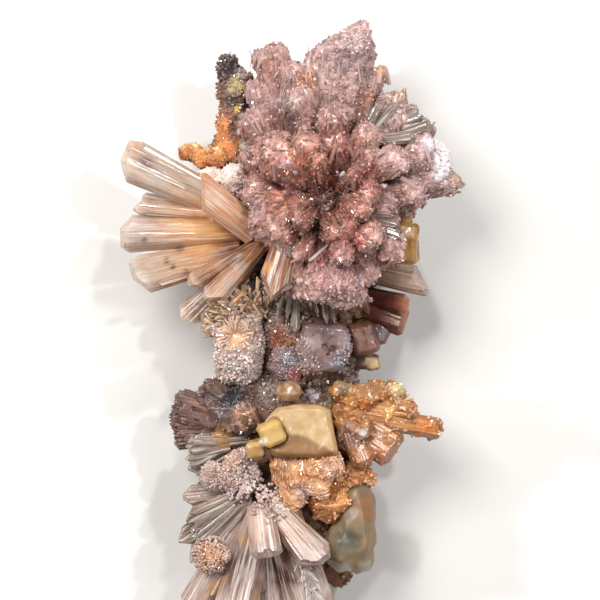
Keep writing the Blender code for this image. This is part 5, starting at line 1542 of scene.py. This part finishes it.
# %% Glassy blades at the left, and feathery fibres in the right blade
LOWER_CLEAR = [
    blade((-13, -40, 20), (-22.6, -44.8, 21.6), 1.7, 1.2, flat=0.1, drops=(1.2, 0.8), roll=25),
    blade((-13, -40, 20), (-22.0, -46.4, 21.8), 1.6, 1.1, flat=0.1, drops=(0.8, 1.2), roll=-30),
    blade((-13, -41, 20), (-22.4, -48.2, 21.0), 1.7, 1.2, flat=0.1, drops=(1.0, 0.8), roll=40),
    blade((-13, -39, 20), (-21.6, -42.8, 21.6), 1.3, 0.9, flat=0.1, drops=(0.8, 0.8), roll=-15),
    blade((-12, -41, 20), (-20.2, -48.6, 22.2), 1.4, 1.0, flat=0.1, drops=(0.8, 0.8), roll=10),
]
blade_piece("lower_clear_blades", "lower_spray", "lilac_creedite", "streaked glass", LOWER_CLEAR,
            prism_glass_paint, 290, companions=3, ridges=0.16, stations=4)


def feathers(count):
    """White needles that spread from a line along the blade's middle, laid into its upper face."""
    pick = np.random.default_rng(484)
    along = pick.uniform(0, 1, (count, 1))
    foot = blend(np.array([0.2, -50.0, 23.0]), np.array([2.6, -60.0, 23.3]), along)
    way = np.array([0.24, -0.95, 0.02]) + pick.normal(0, 1, (count, 1)) * np.array([0.34, 0.08, 0.0])
    plumes = Growth()
    add_needles(plumes, foot + pick.normal(0, 0.3, (count, 3)),
                foot + way * pick.uniform(1.4, 3.6, (count, 1)),
                pick.uniform(0.16, 0.36, count),
                paint_of((236, 226, 220), ((196, 170, 158, 1.2, 0.7, 485),)), 486)
    return plumes


make_piece("lower_feathers", feathers(220), FINISH["mauve needles"], ["lower_spray"])


# %% The druse of the lower spray, and its sugary patch
# Lilac white with brown flecks between the grains, tan and peach over the sugary patch.
lower_druse_paint = paint_of((186, 156, 148),
    ((112, 78, 62, 0.8, 0.9, 127), (238, 224, 222, 1.3, 0.6, 128)),
    ((-18.0, -50.8, 4.0, 208, 162, 132), (-9.6, -36.6, 3.0, 212, 192, 192),
     (-14.0, -32.0, 3.0, 196, 158, 142), (-3.0, -40.6, 3.0, 222, 200, 190)))


def lower_druse():
    """Grains over the root and in a ball at the left, picked from the skin of the spray's solid."""
    corners, normals, quads = skin_over("lower_spray", 0.4, 2)
    weight = stain(corners, (-14.0, -34.5), 6.5)[:, 0] * (corners[:, 2] > 17)
    weight = weight + 1.6 * stain(corners, (-18.0, -50.8), 4.6)[:, 0] * (corners[:, 2] > 20)
    weight = weight + 0.5 * stain(corners, (-6.0, -40.0), 4.5)[:, 0] * (corners[:, 2] > 19)
    return corners, quads, weight


lower_corners, lower_quads, lower_weight = lower_druse()
add_druse("lower_grains", "lower_spray", (lower_corners, lower_quads), 2500, (0.3, 0.75),
          lower_druse_paint, 123, pale=0.1, white=(226, 196, 176), weight=lower_weight)

# %% [markdown]
# ## Floor, light and camera
# The specimen lies on a plain pale floor, and the camera looks straight down on its crystal face, as
# the photograph does. It stands far off with a long lens, so that 5 pixels are one millimetre at the
# height of the crystals. Two large soft lights model the form. Three small ones, low and bright, are
# what the facets glitter with.

# %% The floor
def pale_floor():
    """A large flat plate just under the specimen, in an even pale grey."""
    size, drop = 1.2, 0.00005
    mesh = bpy.data.meshes.new("floor")
    corners = [(-size, -size, -drop), (size, -size, -drop), (size, size, -drop), (-size, size, -drop)]
    mesh.from_pydata(corners, [], [(0, 1, 2, 3)])
    material = bpy.data.materials.new("pale floor")
    material.use_nodes = True
    shader = material.node_tree.nodes["Principled BSDF"]
    shader.inputs["Base Color"].default_value = (*srgb(206, 204, 202), 1)
    shader.inputs["Roughness"].default_value = 0.9
    mesh.materials.append(material)
    floor = bpy.data.objects.new("floor", mesh)
    bpy.context.scene.collection.objects.link(floor)
    return floor


pale_floor()
print("floor laid")

# %% The lights
def area_light(name, place, size, power, colour=(1.0, 1.0, 1.0)):
    """A square area light at a place in metres, aimed at the middle of the specimen."""
    data = bpy.data.lights.new(name, "AREA")
    data.size, data.energy, data.color = size, power, colour
    light = bpy.data.objects.new(name, data)
    light.location = place
    away = Vector(place) - Vector((0.0, 0.0, 0.02))
    light.rotation_euler = away.to_track_quat("Z", "Y").to_euler()
    bpy.context.scene.collection.objects.link(light)
    return light


area_light("key", (-0.26, 0.30, 0.62), 0.30, 4.8, (1.0, 0.97, 0.93))
area_light("fill", (0.42, -0.10, 0.55), 0.50, 1.9, (1.0, 0.98, 0.96))
area_light("spark left", (-0.45, 0.05, 0.32), 0.03, 1.4)
area_light("spark top", (0.10, 0.50, 0.42), 0.03, 1.8)
area_light("spark right", (0.30, 0.22, 0.60), 0.03, 1.6)
world = bpy.data.worlds.new("studio")
world.use_nodes = True
world.node_tree.nodes["Background"].inputs["Color"].default_value = (0.92, 0.91, 0.90, 1)
world.node_tree.nodes["Background"].inputs["Strength"].default_value = 0.14
bpy.context.scene.world = world
bpy.context.scene.view_settings.view_transform = "Standard"
print("lights set")

# %% The camera, straight above the photograph's middle
PIXELS_PER_MM = 5.0
FRAME_MM = 600 / PIXELS_PER_MM
SENSOR_MM, LENS_MM = 36.0, 270.0
CRYSTAL_HEIGHT_MM = 20.0
distance = FRAME_MM * LENS_MM / SENSOR_MM
lens = bpy.data.cameras.new("camera")
lens.lens, lens.sensor_width = LENS_MM, SENSOR_MM
camera = bpy.data.objects.new("camera", lens)
camera.location = to_metres([0, 0, CRYSTAL_HEIGHT_MM + distance])
bpy.context.scene.collection.objects.link(camera)
bpy.context.scene.camera = camera
print("camera", round(distance), "mm above the crystals")
